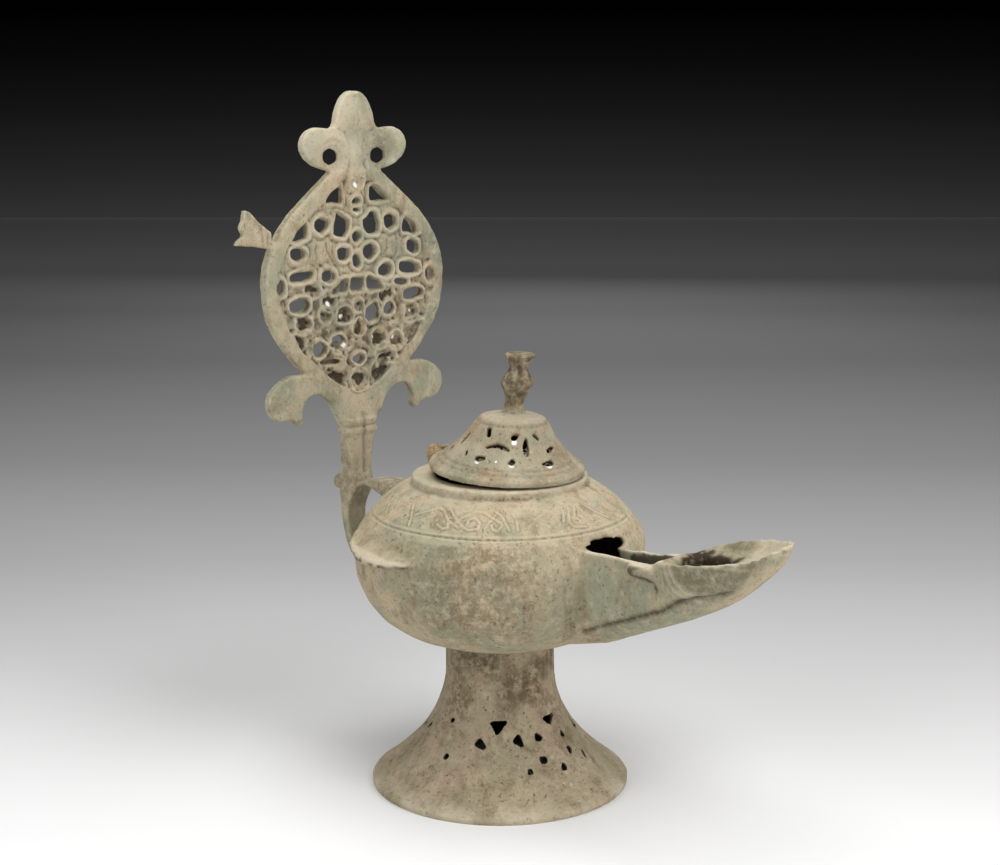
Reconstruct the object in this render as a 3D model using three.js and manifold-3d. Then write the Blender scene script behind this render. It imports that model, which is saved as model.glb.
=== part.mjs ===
// Footed bronze oil lamp: a squat bowl with a long boat-shaped spout, a pierced trumpet foot,
// a hinged pierced lid with a baluster knob, and an upright openwork handle.
// Millimetres, +Z up. The spout points along +X and the handle stands at -X.
import * as THREE from "three";
import { mergeVertices } from "three/addons/utils/BufferGeometryUtils.js";
import Module from "manifold-3d";

const wasm = await Module();
wasm.setup();

// Foot
const footHeight = 49;
const footRimRadius = 42;
const footRimHeight = 1.6;
const neckRadius = 17.6;
const flareTop = 41;
const flarePower = 2.3;
const footWall = 2.2;
const solderGap = 0.3;

// Bowl
const bellyRadius = 46.8;
const bellyStart = 26.7;
const bellyBand = 5.5;
const shoulderHeight = 18.3;
const shoulderFullness = 1.38;
const seatRadius = 18.6;
const collarRadius = 28.2;
const collarHeight = 2.6;
const lipThickness = 2.4;
const mouthRadius = 20.5;
const bowlWall = 2.2;
const floorThickness = 2.6;

// Side wings on the belly
const wingTurn = 101;
const wingSpan = 41;
const wingReach = 4.2;
const wingThickness = 2;
const wingDroop = 33;
const wingPitch = -2;
const wingRoot = 2;
const wingDrop = 19.3;

// Spout and its nozzle
const spoutWall = 2;
const channelReach = 72;
const nozzleLength = 41.5;
const nozzleHalfWidth = 14.4;
const channelHalfWidth = 10;
const neckHalfWidth = 8.6;
const channelTopDrop = 15.6;
const dishDepth = 5.4;
const dishFloor = 1.4;
const nozzleLip = 1.5;
const nozzleTwist = 0.1;
const wickHoleLength = 19;
const wickHoleWidth = 12;
const rimEarLength = 12;
const rimEarReach = 3.6;
const rimEarThickness = 2.4;

// Lid
const lidRadius = 24.9;
const lidShift = 3.1;
const lidLean = 0.1;
const lidWall = 2;
const lidEdge = 1.6;
const lidShoulderRadius = 11.4;
const lidShoulderHeight = 16.2;
const lidCrownHeight = 18.6;
const lidTilt = 3.6;
const lidClearance = 0.35;

// Knob on the lid
const knobHeight = 19.2;
const knobBulge = 5.4;
const knobNeck = 3.0;
const knobTop = 5.0;

// Hinge
const hingeRise = 3;
const hingePinRadius = 1.1;
const hingePinClearance = 0.3;
const knuckleRadius = 2.6;
const knuckleWidth = 5;
const earThickness = 2.5;
const earClearance = 0.35;
const pinHeadRadius = 1.9;
const pinHeadThickness = 1;

// Handle
const handleReach = 70;
const stemDepth = 4.6;
const loopWidth = 8.6;
const loopThickness = 4.4;
const loopRise = 43;
const loopFoot = 11;
const loopBelly = 3;
const gripGap = 0.3;
const collarBandWidth = 13.4;
const collarBandHeight = 1.5;
const collarBandGap = 1.6;
const handleCollarHeight = 57.2;
const buttonRadius = 2.7;
const buttonReach = 5.4;
const panelHeight = 86;
const panelHalfWidth = 39.4;
const fieldThickness = 2.1;
const frameThickness = 4.4;
const leafThickness = 3.4;

const finish = 0.09;
const roundSides = 32;
const knobSides = 14;
const smallSides = 10;
const degree = Math.PI / 180;

const bowlBottom = footHeight + solderGap;
const bellyLow = bowlBottom + bellyStart;
const bellyHigh = bellyLow + bellyBand;
const shoulderTop = bellyHigh + shoulderHeight;
const collarTop = shoulderTop + collarHeight;
const stemTop = bowlBottom + handleCollarHeight;
const panelFoot = stemTop + 2 * collarBandHeight + collarBandGap;
const hingeReach = lidRadius - lidShift + knuckleRadius + 1;

// Solids and meshes

function solidOf(geometry) {
  const bare = geometry.clone();
  for (const name of Object.keys(bare.attributes)) {
    if (name !== "position") bare.deleteAttribute(name);
  }
  const merged = mergeVertices(bare, 1e-4);
  const position = merged.attributes.position.array;
  const index = Array.from(merged.index.array);
  let volume = 0;
  const corner = (i) => new THREE.Vector3().fromArray(position, 3 * index[i]);
  for (let i = 0; i < index.length; i += 3) {
    volume += corner(i).dot(corner(i + 1).cross(corner(i + 2)));
  }
  if (volume < 0) {
    for (let i = 0; i < index.length; i += 3) {
      [index[i + 1], index[i + 2]] = [index[i + 2], index[i + 1]];
    }
  }
  const mesh = new wasm.Mesh({
    numProp: 3,
    vertProperties: new Float32Array(position),
    triVerts: new Uint32Array(index),
  });
  mesh.merge();
  return new wasm.Manifold(mesh);
}

function geometryOf(solid) {
  const mesh = solid.simplify(finish).getMesh();
  const geometry = new THREE.BufferGeometry();
  geometry.setAttribute("position", new THREE.BufferAttribute(new Float32Array(mesh.vertProperties), 3));
  geometry.setIndex(new THREE.BufferAttribute(new Uint32Array(mesh.triVerts), 1));
  geometry.computeVertexNormals();
  return geometry;
}

const joined = (solids) => solids.reduce((all, one) => all.add(one));

function turned(profile, sides = roundSides) {
  const points = profile.map(([r, z]) => new THREE.Vector2(Math.max(r, 0), z));
  return new THREE.LatheGeometry(points, sides).rotateX(Math.PI / 2);
}

function shapeOf(points) {
  return new THREE.Shape(points.map(([x, y]) => new THREE.Vector2(x, y)));
}

function plate(shape, thickness, curveSegments = 6) {
  return new THREE.ExtrudeGeometry(shape, { depth: thickness, bevelEnabled: false, curveSegments })
    .translate(0, 0, -thickness / 2);
}

// A plate drawn in the handle's plane: its x runs along Y and its y runs up
const upright = (geometry) => geometry.rotateX(Math.PI / 2).rotateZ(Math.PI / 2);

// A profile moved in by a wall, square to itself
function insetProfile(profile, wall) {
  return profile.map((point, i) => {
    const before = profile[Math.max(i - 1, 0)];
    const after = profile[Math.min(i + 1, profile.length - 1)];
    const dr = after[0] - before[0];
    const dz = after[1] - before[1];
    const length = Math.hypot(dr, dz);
    return [point[0] - (wall * dz) / length, point[1] + (wall * dr) / length];
  });
}

// A small prism standing square to a turned surface, for piercing its wall. Its outline is drawn as seen from outside
function radialPrism(outline, depth, turn, radius, height, lean) {
  const geometry = plate(shapeOf(outline), depth);
  geometry.rotateX(Math.PI / 2);
  geometry.rotateX(lean);
  geometry.translate(0, -radius, height);
  return solidOf(geometry.rotateZ(Math.PI / 2 + turn * degree));
}

// Outlines of pierced openings, each in a box of its own width and height

const triangle = (w, h, up = 1) => [[-w / 2, (-up * h) / 2], [w / 2, (-up * h) / 2], [0, (up * h) / 2]];

function roundish(w, h, sides = 8, fullness = 1) {
  const points = [];
  for (let i = 0; i < sides; i++) {
    const angle = (2 * Math.PI * (i + 0.5)) / sides;
    const c = Math.cos(angle);
    const s = Math.sin(angle);
    points.push([(w / 2) * Math.sign(c) * Math.abs(c) ** fullness, (h / 2) * Math.sign(s) * Math.abs(s) ** fullness]);
  }
  return points;
}

function lens(w, h, bow = 0, steps = 4) {
  const upper = [];
  const lower = [];
  for (let i = 0; i <= steps; i++) {
    const t = i / steps;
    const x = (t - 0.5) * w;
    const swell = (Math.sin(Math.PI * t) * h) / 2;
    const arch = bow * Math.sin(Math.PI * t);
    upper.push([x, arch + swell]);
    if (i > 0 && i < steps) lower.push([x, arch - swell]);
  }
  return upper.concat(lower.reverse());
}

// Foot

function footRadius(z) {
  const rise = Math.min(Math.max((z - footRimHeight) / (flareTop - footRimHeight), 0), 1);
  return neckRadius + (footRimRadius - neckRadius) * (1 - rise) ** flarePower;
}

function footProfile(steps) {
  const points = [];
  for (let i = 0; i <= steps; i++) {
    const z = footRimHeight + (flareTop - footRimHeight) * (i / steps) ** 1.2;
    points.push([footRadius(z), z]);
  }
  points.push([neckRadius, footHeight]);
  return points;
}

// Openings in the foot's wall, each with its turn, its height and its outline as drawn on a rim of 42.
// The front row is worn: corrosion has eaten some of its triangles out of shape and closed others.
const footDrawing = footRimRadius / 42;
const wornFootCells = [
  [-46.5, 24.2, [[-2.7, 1.7], [-0.4, -2.6], [3.1, 2.1]]],
  [4.2, 24.6, [[-2.9, 0.8], [-0.5, -2], [3.2, 1.2]]],
  [-60.3, 19.3, [[-2.1, -0.4], [2.4, -1.8], [-0.3, 2.2]]],
  [-30.2, 20.2, [[-1.9, -0.2], [1.6, -2.4], [0.4, 2.6]]],
  [-12.8, 20.3, [[-1.2, -0.7], [0.2, -1.2], [1.7, -0.3], [-0.7, 2]]],
  [12.6, 19.2, [[-1.3, -0.8], [1, -0.9], [0.1, 1.6]]],
  [10.8, 14.8, [[-1.2, -0.6], [-0.1, -1.5], [1.1, 0.3], [0, 1.8]]],
  [21.6, 12, [[-1.3, -1.3], [-0.5, -1.5], [1.1, 1.2], [0.2, 1.5]]],
  [-14.6, 14.5, [[-1.4, 0], [-0.4, -1.2], [1.2, -0.9], [1.4, 0.7], [-0.7, 1.2]]],
  [-2.4, 11.8, [[-1.7, -1.3], [0.7, -1.4], [1.2, -0.5], [0.8, 1.8]]],
  [-26.2, 12.1, [[-1.2, -1.2], [1.1, -0.4], [0.2, 1.4]]],
  [-84.6, 14.7, [[-0.9, -1.4], [1.5, -0.1], [-0.3, 1.3]]],
  [-91.8, 24.2, [[-1.1, -0.9], [0.4, -0.5], [1.1, 0.6], [-0.5, 0.8]]],
  [-121, 19.6, [[-0.9, -1.4], [0.7, -0.9], [0.9, 1.4], [-0.3, 1.6]]],
];
const footGroupTurns = [55.4, 106.8, 158.2, 209.6];
const footCells = [
  [0, 24.2, triangle(5.7, 5, -1)],
  [-14.2, 19.6, triangle(4.3, 4.6, 1)],
  [14.2, 19.6, triangle(4.3, 4.6, 1)],
  [0, 14.6, roundish(3, 2.8, 4)],
];

function footSolid() {
  const outer = footProfile(7);
  const inner = insetProfile(footProfile(4), footWall);
  const body = solidOf(turned([[0, 0], [footRimRadius, 0], ...outer, [0, footHeight]]));
  const [baseRadius, baseHeight] = inner[0];
  const open = baseRadius - baseHeight - 1;
  const top = footHeight + 1;
  const hollow = solidOf(turned([[0, -1], [open, -1], ...inner.slice(1, -1), [neckRadius - footWall, top], [0, top]]));
  const slope = (z) => Math.atan2(footRadius(z - 0.5) - footRadius(z + 0.5), 1);
  const cuts = [];
  const pierce = ([turn, height, outline]) => {
    const z = height * footDrawing;
    const drawnHere = outline.map(([x, y]) => [x * footDrawing, y * footDrawing]);
    cuts.push(radialPrism(drawnHere, 2.6 * footWall, turn, footRadius(z), z, -slope(z)));
  };
  wornFootCells.forEach(pierce);
  for (const middle of footGroupTurns) {
    footCells.forEach(([turn, height, outline]) => pierce([middle + turn, height, outline]));
  }
  return body.subtract(hollow).subtract(joined(cuts));
}

// Bowl

function bowlCurves(steps) {
  const points = [];
  for (let i = 1; i <= steps; i++) {
    const angle = (i / steps) * (Math.PI / 2);
    points.push([
      seatRadius + (bellyRadius - seatRadius) * Math.sin(angle),
      bellyLow - bellyStart * Math.cos(angle),
    ]);
  }
  for (let i = 0; i <= steps; i++) {
    const angle = (i / steps) * (Math.PI / 2);
    const power = 2 / shoulderFullness;
    points.push([
      collarRadius + (bellyRadius - collarRadius) * Math.cos(angle) ** power,
      bellyHigh + shoulderHeight * Math.sin(angle) ** power,
    ]);
  }
  return points;
}

function bowlShell() {
  const curves = bowlCurves(6);
  const outer = [[0, bowlBottom], [seatRadius, bowlBottom], ...curves, [collarRadius, collarTop], [0, collarTop]];
  return solidOf(turned(outer));
}

function bowlHollow() {
  const throat = collarRadius - bowlWall;
  const floor = bowlBottom + floorThickness;
  const inner = insetProfile(bowlCurves(3), bowlWall).filter(([r, z]) => r > throat || z < bellyLow);
  const raised = inner.map(([r, z]) => [r, Math.max(z, floor)]);
  const under = collarTop - lipThickness;
  return solidOf(
    turned([
      [0, floor],
      ...raised,
      [throat, inner[inner.length - 1][1] + 0.5],
      [throat, under],
      [mouthRadius, under],
      [mouthRadius, collarTop + 1],
      [0, collarTop + 1],
    ]),
  );
}

function wing(side) {
  const steps = 8;
  const outer = [];
  const inner = [];
  for (let i = 0; i <= steps; i++) {
    const t = (2 * i) / steps - 1;
    const along = (t * wingSpan) / 2;
    const sag = bellyRadius - Math.sqrt(bellyRadius ** 2 - along ** 2);
    outer.push([along, wingReach * (1 - t ** 2) ** 0.6 - sag]);
    inner.push([along, -wingRoot - sag]);
  }
  const crescent = plate(shapeOf([...outer, ...inner.reverse()]), wingThickness);
  crescent.rotateY(-side * wingPitch * degree);
  crescent.translate(0, bellyRadius, collarTop - wingDrop);
  const slope = Math.tan(wingDroop * degree);
  return solidOf(crescent.rotateZ((side * wingTurn - 90) * degree)).warp((vertex) => {
    vertex[2] -= slope * (Math.hypot(vertex[0], vertex[1]) - bellyRadius);
  });
}

// Spout: sections across X, each with a keel, an arris low on either side and a rim

const channelTop = collarTop - channelTopDrop;

function easing(x, table) {
  for (let i = 1; i < table.length; i++) {
    const [x0, y0] = table[i - 1];
    const [x1, y1] = table[i];
    if (x <= x1) return y0 + ((y1 - y0) * (Math.max(x, x0) - x0)) / (x1 - x0);
  }
  return table[table.length - 1][1];
}

// Heights along the nozzle, as drops below the collar's top
const nozzleShare = (x) => (x - channelReach) / nozzleLength;
const nozzlePlan = [[0, 0.6], [0.06, 0.74], [0.14, 0.86], [0.26, 0.96], [0.42, 1], [0.6, 0.98], [0.74, 0.88],
  [0.85, 0.7], [0.93, 0.47], [0.98, 0.22], [1, 0.06]];
const rimRise = [[0, -14.2], [0.24, -11], [0.5, -9], [0.75, -6.8], [0.9, -5], [1, -3]];
const arrisRise = [[-1, -46], [-0.42, -38.4], [0.06, -30.6], [0.42, -23.4], [0.62, -20], [0.8, -14.6], [1, -5]];
const keelRise = [[-1, -50.4], [-0.65, -47.2], [-0.2, -39.2], [0.16, -32.6], [0.46, -26.4], [0.65, -21.4],
  [0.73, -16.2], [0.86, -10.6], [0.97, -5.8], [1, -4]];

function spoutSection(x) {
  const share = nozzleShare(x);
  const inNozzle = share >= 0;
  const back = (channelReach - x) / (channelReach - bellyRadius);
  const neck = neckHalfWidth + (channelHalfWidth - neckHalfWidth) * back;
  const rimHalf = inNozzle ? nozzleHalfWidth * easing(share, nozzlePlan) : neck;
  const rim = inNozzle ? collarTop + easing(share, rimRise) : channelTop;
  const arris = Math.min(collarTop + easing(share, arrisRise), rim - 0.8);
  const keel = Math.min(collarTop + easing(share, keelRise), arris - 0.8);
  const arrisHalf = inNozzle ? rimHalf * (0.98 - 0.38 * Math.min(share * 3, 1)) : neck;
  return { rimHalf, rim, arris, keel, arrisHalf };
}

function sectionPoints({ rimHalf, rim, arris, keel, arrisHalf }) {
  const half = [[rimHalf, rim]];
  for (const [across, up] of [[0.86, 0.66], [0.5, 0.3]]) {
    half.push([arrisHalf + (rimHalf - arrisHalf) * across, arris + (rim - arris) * up]);
  }
  half.push([arrisHalf, arris]);
  half.push([arrisHalf * 0.55, keel + (arris - keel) * 0.28]);
  const mirror = half.map(([y, z]) => [-y, z]).reverse();
  return [...half, [0, keel], ...mirror];
}

// The nozzle is twisted a little about its length, its far side standing higher
const twistAt = (x) => nozzleTwist * Math.min(Math.max(nozzleShare(x) * 2.5, 0), 1);

function loft(stations) {
  const count = stations[0].ring.length;
  const vertices = [];
  for (const { x, ring } of stations) ring.forEach(([y, z]) => vertices.push(x, y, z + twistAt(x) * y));
  const faces = [];
  for (let s = 0; s + 1 < stations.length; s++) {
    for (let i = 0; i < count; i++) {
      const a = s * count + i;
      const b = s * count + ((i + 1) % count);
      faces.push(a, b, a + count, b, b + count, a + count);
    }
  }
  for (const [start, flip] of [[0, true], [(stations.length - 1) * count, false]]) {
    for (let i = 0; 2 * i + 3 < count + 1; i++) {
      const [p, q, r, t] = [start + i, start + i + 1, start + count - 2 - i, start + count - 1 - i];
      for (const [u, v, w] of [[p, q, t], [q, r, t]]) {
        if (u !== v && v !== w && u !== w) faces.push(...(flip ? [u, w, v] : [u, v, w]));
      }
    }
  }
  const geometry = new THREE.BufferGeometry();
  geometry.setAttribute("position", new THREE.Float32BufferAttribute(vertices, 3));
  geometry.setIndex(faces);
  return geometry;
}

function spoutOuter() {
  const stations = [];
  const start = bellyRadius - 12;
  for (const x of [start, bellyRadius + 1, bellyRadius + 12, channelReach - 0.3]) {
    stations.push({ x, ring: sectionPoints(spoutSection(x)) });
  }
  const steps = 10;
  for (let i = 0; i <= steps; i++) {
    const x = channelReach + nozzleLength * Math.sin((i / steps) * (Math.PI / 2)) ** 0.9;
    stations.push({ x, ring: sectionPoints(spoutSection(x)) });
  }
  return solidOf(loft(stations));
}

// The oil channel under the nozzle's dish and along the open spout
function channelHollow() {
  const end = channelReach + nozzleLength * 0.68;
  const stations = [];
  const steps = 7;
  const start = bellyRadius - 14;
  for (let i = 0; i <= steps; i++) {
    const x = start + ((end - start) * i) / steps;
    const section = spoutSection(x);
    const half = Math.min(section.arrisHalf, channelHalfWidth) - spoutWall;
    const roof = x < channelReach ? channelTop - 1.2 : section.rim - dishDepth - dishFloor;
    const arris = Math.min(section.arris + spoutWall * 0.7, roof - 1);
    const keel = Math.min(section.keel + spoutWall * 1.1, arris - 0.4);
    stations.push({ x, ring: [[half, roof], [half, arris], [half * 0.55, keel + 0.4], [0, keel],
      [-half * 0.55, keel + 0.4], [-half, arris], [-half, roof]] });
  }
  return solidOf(loft(stations));
}

// The channel's broken-away cover, with a ragged edge up the bowl's shoulder
function coverBreak() {
  const half = channelHalfWidth - spoutWall - 0.4;
  const neck = neckHalfWidth - spoutWall - 0.3;
  const depth = 9;
  const start = bellyRadius - 1.3;
  const end = channelReach - 1.5;
  const slot = plate(shapeOf([[start, -half], [end, -neck], [end, neck], [start, half]]), depth);
  const ragged = [
    [-half + 0.2, channelTop - 2.3], [half - 0.3, channelTop - 2.3], [half + 3.4, channelTop - 3.1],
    [half + 3.6, channelTop - 2.5], [half + 4.4, channelTop - 1], [half + 3.7, channelTop - 0.3],
    [half + 0.6, channelTop + 0.4], [half - 2.9, channelTop + 0.7], [half - 3.1, channelTop + 1.1],
    [half - 4.5, channelTop + 1.3], [half - 5.4, channelTop + 0.8], [half - 8, channelTop + 1],
    [half - 10.2, channelTop + 1.1], [half - 12.5, channelTop + 0.3], [half - 14.2, channelTop],
    [-half - 1.2, channelTop - 0.6],
  ];
  const notch = upright(plate(shapeOf(ragged), 14)).translate(bellyRadius - 4, 0, 0);
  // The far wall's top is broken lower, as far as the nozzle's rim
  const lowered = [[0.05, -2.6], [0.2, -2.2], [0.36, -1.8], [0.52, -1.4], [0.67, -1.1], [0.83, -0.6], [0.99, -0.4],
    [1.07, 0.1], [1.095, 1.1], [1.075, 2.2], [1.13, 4.6], [0.05, 4.6]];
  const brokenWall = lowered.map(([share, rise]) => [
    bellyRadius + share * (channelReach - bellyRadius), channelTop + rise,
  ]);
  const chip = plate(shapeOf(brokenWall), 6.6).rotateX(Math.PI / 2).translate(0, channelHalfWidth - 0.8, 0);
  return [solidOf(slot.translate(0, 0, channelTop - 2 + depth / 2)), solidOf(notch), solidOf(chip)];
}

// The nozzle's shallow dish follows the rim's plan and its rising height
function dishHollow() {
  const stations = [];
  const steps = 9;
  for (let i = 0; i <= steps; i++) {
    const share = 0.05 + 0.9 * (0.5 - 0.5 * Math.cos((i / steps) * Math.PI));
    const x = channelReach + nozzleLength * share;
    const section = spoutSection(x);
    const half = Math.max(section.rimHalf - nozzleLip, 0.4);
    const depth = dishDepth * Math.sin(Math.PI * Math.min(Math.max((share - 0.02) / 0.96, 0.03), 0.97)) ** 0.7;
    const ring = [[half + 0.9, section.rim + 1.5], [half - 0.2, section.rim - 0.4],
      [half * 0.82, section.rim - depth * 0.55], [half * 0.45, section.rim - depth * 0.92], [0, section.rim - depth]];
    const mirror = ring.slice(0, -1).map(([y, z]) => [-y, z]).reverse();
    stations.push({ x, ring: [...ring, ...mirror] });
  }
  return solidOf(loft(stations));
}

// The wick hole's broken outline
function wickHole() {
  const outline = roundish(wickHoleLength, wickHoleWidth, 14).map(([x, y], i) => [
    x * (1 + 0.1 * Math.sin(5 * i)), y * (1 + 0.16 * Math.cos(3.3 * i)),
  ]);
  const section = spoutSection(channelReach + nozzleLength * 0.4);
  const depth = dishDepth + dishFloor + 3;
  return solidOf(plate(shapeOf(outline), depth).translate(
    channelReach + nozzleLength * 0.28, 1.4, section.rim - depth / 2,
  ));
}

// A small ear stands out on either side where the channel's wall meets the nozzle
function rimEar(side) {
  const start = channelReach - 0.8 * rimEarLength;
  const inner = neckHalfWidth - 0.8;
  const outer = neckHalfWidth + rimEarReach;
  const plan = [[start, inner], [start + rimEarLength + 3, inner], [start + rimEarLength, outer - 1.4],
    [start + 0.45 * rimEarLength, outer], [start + 0.1 * rimEarLength, outer - 0.5]];
  const slab = plate(shapeOf(plan.map(([x, y]) => [x, side * y])), rimEarThickness);
  return solidOf(slab.translate(0, 0, channelTop - 1 - rimEarThickness / 2));
}

// Hinge ears stand on the lip at the handle's side, with the pin through them

const hingeHeight = collarTop + hingeRise;

function alongY(radius, length, sides = smallSides) {
  return new THREE.CylinderGeometry(radius, radius, length, sides);
}

function tab(radius, foot, reach, width) {
  const shape = new THREE.Shape();
  shape.moveTo(-radius - reach[0], foot);
  shape.lineTo(radius + reach[1], foot);
  shape.lineTo(radius, 0);
  shape.absarc(0, 0, radius, 0, Math.PI, false);
  shape.lineTo(-radius - reach[0], foot);
  return plate(shape, width, 8).rotateX(Math.PI / 2);
}

function ear(side) {
  const offset = side * (knuckleWidth / 2 + earClearance + earThickness / 2);
  const geometry = tab(knuckleRadius - 0.2, -hingeRise - 0.6, [0, 0.8], earThickness);
  return solidOf(geometry.translate(-hingeReach, offset, hingeHeight));
}

function pinHole(radius) {
  return solidOf(alongY(radius, 2 * collarRadius).translate(-hingeReach, 0, hingeHeight));
}

function bowlSolid() {
  const ears = [-1, 1].map(ear);
  return joined([bowlShell(), wing(1), wing(-1), spoutOuter(), rimEar(1), rimEar(-1)])
    .subtract(bowlHollow())
    .subtract(channelHollow())
    .subtract(joined(coverBreak()))
    .subtract(dishHollow())
    .subtract(wickHole())
    .add(joined(ears))
    .subtract(pinHole(hingePinRadius + hingePinClearance));
}

function hingePinSolid() {
  const span = knuckleWidth + 2 * (earClearance + earThickness) + 2 * 0.3;
  const shaft = solidOf(alongY(hingePinRadius, span + pinHeadThickness));
  const heads = [-1, 1].map((side) =>
    solidOf(alongY(pinHeadRadius, pinHeadThickness).translate(0, (side * (span + pinHeadThickness)) / 2, 0)),
  );
  return joined([shaft, ...heads]);
}

// Lid, in its own frame: its rim's centre is the origin

function lidFlank() {
  const steps = 3;
  const points = [];
  for (let i = 0; i <= steps; i++) {
    const t = i / steps;
    const bow = 1.3 * Math.sin(Math.PI * t);
    points.push([
      lidRadius + (lidShoulderRadius - lidRadius) * t - bow,
      lidEdge + (lidShoulderHeight - lidEdge) * t - bow * 0.6,
    ]);
  }
  return points;
}

function lidCrown() {
  return [
    [lidShoulderRadius - 0.7, lidShoulderHeight + 0.6],
    [lidShoulderRadius * 0.62, lidCrownHeight - 0.8],
    [knobNeck + 1.3, lidCrownHeight - 0.1],
  ];
}

function knobProfile() {
  const at = (share, radius) => [radius, lidCrownHeight + knobHeight * share];
  return [
    at(0.05, knobNeck + 0.6), at(0.18, knobNeck), at(0.3, knobNeck + 0.5), at(0.42, knobBulge * 0.86),
    at(0.51, knobBulge), at(0.6, knobBulge * 0.86), at(0.72, knobNeck + 0.15), at(0.79, knobNeck),
    at(0.94, knobTop * 0.92), at(0.98, knobTop), at(1, knobTop - 0.15),
  ];
}

// Openings in the lid's flank, each with its turn, its share of the way up and its outline as drawn on a rim of 25.
// The front ones are worn out of shape.
const lidDrawing = lidRadius / 25;
const wornLidCells = [
  [-81, 0.86, [[-0.1, -1.7], [1.4, -1.5], [0.3, 1.7], [-1.4, 1.5]]],
  [-63, 0.645, [[-5.2, -1.6], [-2.4, -0.9], [0, -0.4], [2.6, -0.8], [4.9, -1.2], [5.1, -0.7], [2.8, 0.7], [0.2, 1.2],
    [-2.6, 0.2]]],
  [-41, 0.82, [[-1.3, -0.6], [0.1, -1.3], [1.2, 0.1], [1.4, 1.1], [-0.6, 1.1]]],
  [-26, 0.64, [[-1.1, -3.1], [0.5, -3.1], [1, -0.5], [0.7, 3.2], [-0.1, 3.3], [-1, 0.4]]],
  [-8.6, 0.8, [[-1.5, 1.1], [-0.9, 0.2], [0.8, -1.5], [1.5, -1], [-0.3, 1.5]]],
  [9.5, 0.56, [[-2.9, -0.8], [-1.2, -1.1], [1.4, 0], [3.2, 1.1], [0.2, 0.9], [-2.2, 0.2]]],
  [-75.5, 0.4, [[-1.8, -0.8], [-0.4, -1.1], [1.9, -0.3], [1.6, 1], [-0.9, 0.9], [-1.9, 0.3]]],
  [-42.4, 0.385, [[-1.5, -0.6], [0.2, -1.2], [1.4, 0.1], [0, 1.6]]],
  [-5.5, 0.335, [[-2.9, 0], [-0.6, -1.1], [2.4, -0.9], [2.8, 0.1], [1.9, 1.1], [-0.8, 0.6]]],
  [-95.2, 0.43, [[-1.2, 1.1], [-0.9, 0.4], [0.5, -1.4], [1.1, -1], [-0.3, 1.3]]],
];
const lidGroupTurns = [52, 101, 148, 217];
const lidCells = [
  [0, 0.64, lens(9.4, 1.7, 1.5, 3)],
  [25, 0.64, roundish(1.9, 6.2, 4, 0.8)],
  [-10, 0.38, roundish(3.4, 2, 4, 0.8)],
  [14, 0.38, roundish(2.6, 2.2, 4, 0.8)],
];

// The crown and the knob stand off the middle of the rim, toward the spout
function leaning(solid) {
  return solid.warp((vertex) => {
    vertex[0] += lidLean * Math.max(vertex[2] - lidEdge, 0);
  });
}

function lidSolid() {
  const flank = lidFlank();
  const crown = lidCrown();
  const knob = knobProfile();
  const outer = [[0, 0], [lidRadius, 0], ...flank, ...crown, [0, lidCrownHeight]];
  const baluster = [[0, lidCrownHeight - 1], [knobNeck + 1.1, lidCrownHeight - 1], ...knob,
    [0, lidCrownHeight + knobHeight]];
  const inside = insetProfile([...flank, ...crown], lidWall).filter(([r, z]) => z > lidEdge + 1);
  const hollow = [[0, -1], [inside[0][0] + inside[0][1] + 1, -1], ...inside, [0, lidCrownHeight - lidWall]];
  const lean = Math.atan2(lidRadius - lidShoulderRadius, lidShoulderHeight - lidEdge);
  const cuts = [];
  const pierce = ([turn, share, outline]) => {
    const drawnHere = outline.map(([x, y]) => [x * lidDrawing, y * lidDrawing]);
    const radius = lidRadius + (lidShoulderRadius - lidRadius) * share - 1;
    const height = lidEdge + (lidShoulderHeight - lidEdge) * share;
    cuts.push(radialPrism(drawnHere, 2.4 * lidWall, turn, radius, height, -lean));
  };
  wornLidCells.forEach(pierce);
  for (const middle of lidGroupTurns) {
    for (const [turn, share, outline] of lidCells) {
      if (Math.abs(middle + turn - 180) > 14) pierce([middle + turn, share, outline]);
    }
  }
  const shell = solidOf(turned(outer)).subtract(solidOf(turned(hollow))).subtract(joined(cuts));
  const upperPart = leaning(joined([shell, solidOf(turned(baluster, knobSides))]));
  return joined([upperPart, lidKnuckle()]).subtract(knuckleHole());
}

// The lid's knuckle, in the lid's own frame: the hinge axis seen from the tilted rim
const hingeInLid = new THREE.Vector3(-hingeReach - lidShift, 0, hingeHeight - collarTop - rimCentreRise())
  .applyAxisAngle(new THREE.Vector3(0, 1, 0), -lidTilt * degree);

function rimCentreRise() {
  return lidRadius * Math.sin(lidTilt * degree) + lidClearance;
}

function lidKnuckle() {
  const shape = new THREE.Shape();
  shape.absarc(0, 0, knuckleRadius, 0.5 * Math.PI, 1.6 * Math.PI, false);
  shape.lineTo(knuckleRadius + 0.9, 0.3 - hingeInLid.z);
  shape.lineTo(knuckleRadius + 6, 2.6 - hingeInLid.z);
  shape.lineTo(knuckleRadius + 6.8, 5.4 - hingeInLid.z);
  shape.lineTo(0, knuckleRadius);
  const web = plate(shape, knuckleWidth, 8).rotateX(Math.PI / 2);
  return solidOf(web.translate(hingeInLid.x, 0, hingeInLid.z));
}

function knuckleHole() {
  const radius = hingePinRadius + hingePinClearance;
  return solidOf(alongY(radius, 2 * lidRadius).translate(hingeInLid.x, 0, hingeInLid.z));
}

// Handle: drawn from the side for the stem and finger loop, and from the front for the panel

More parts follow.
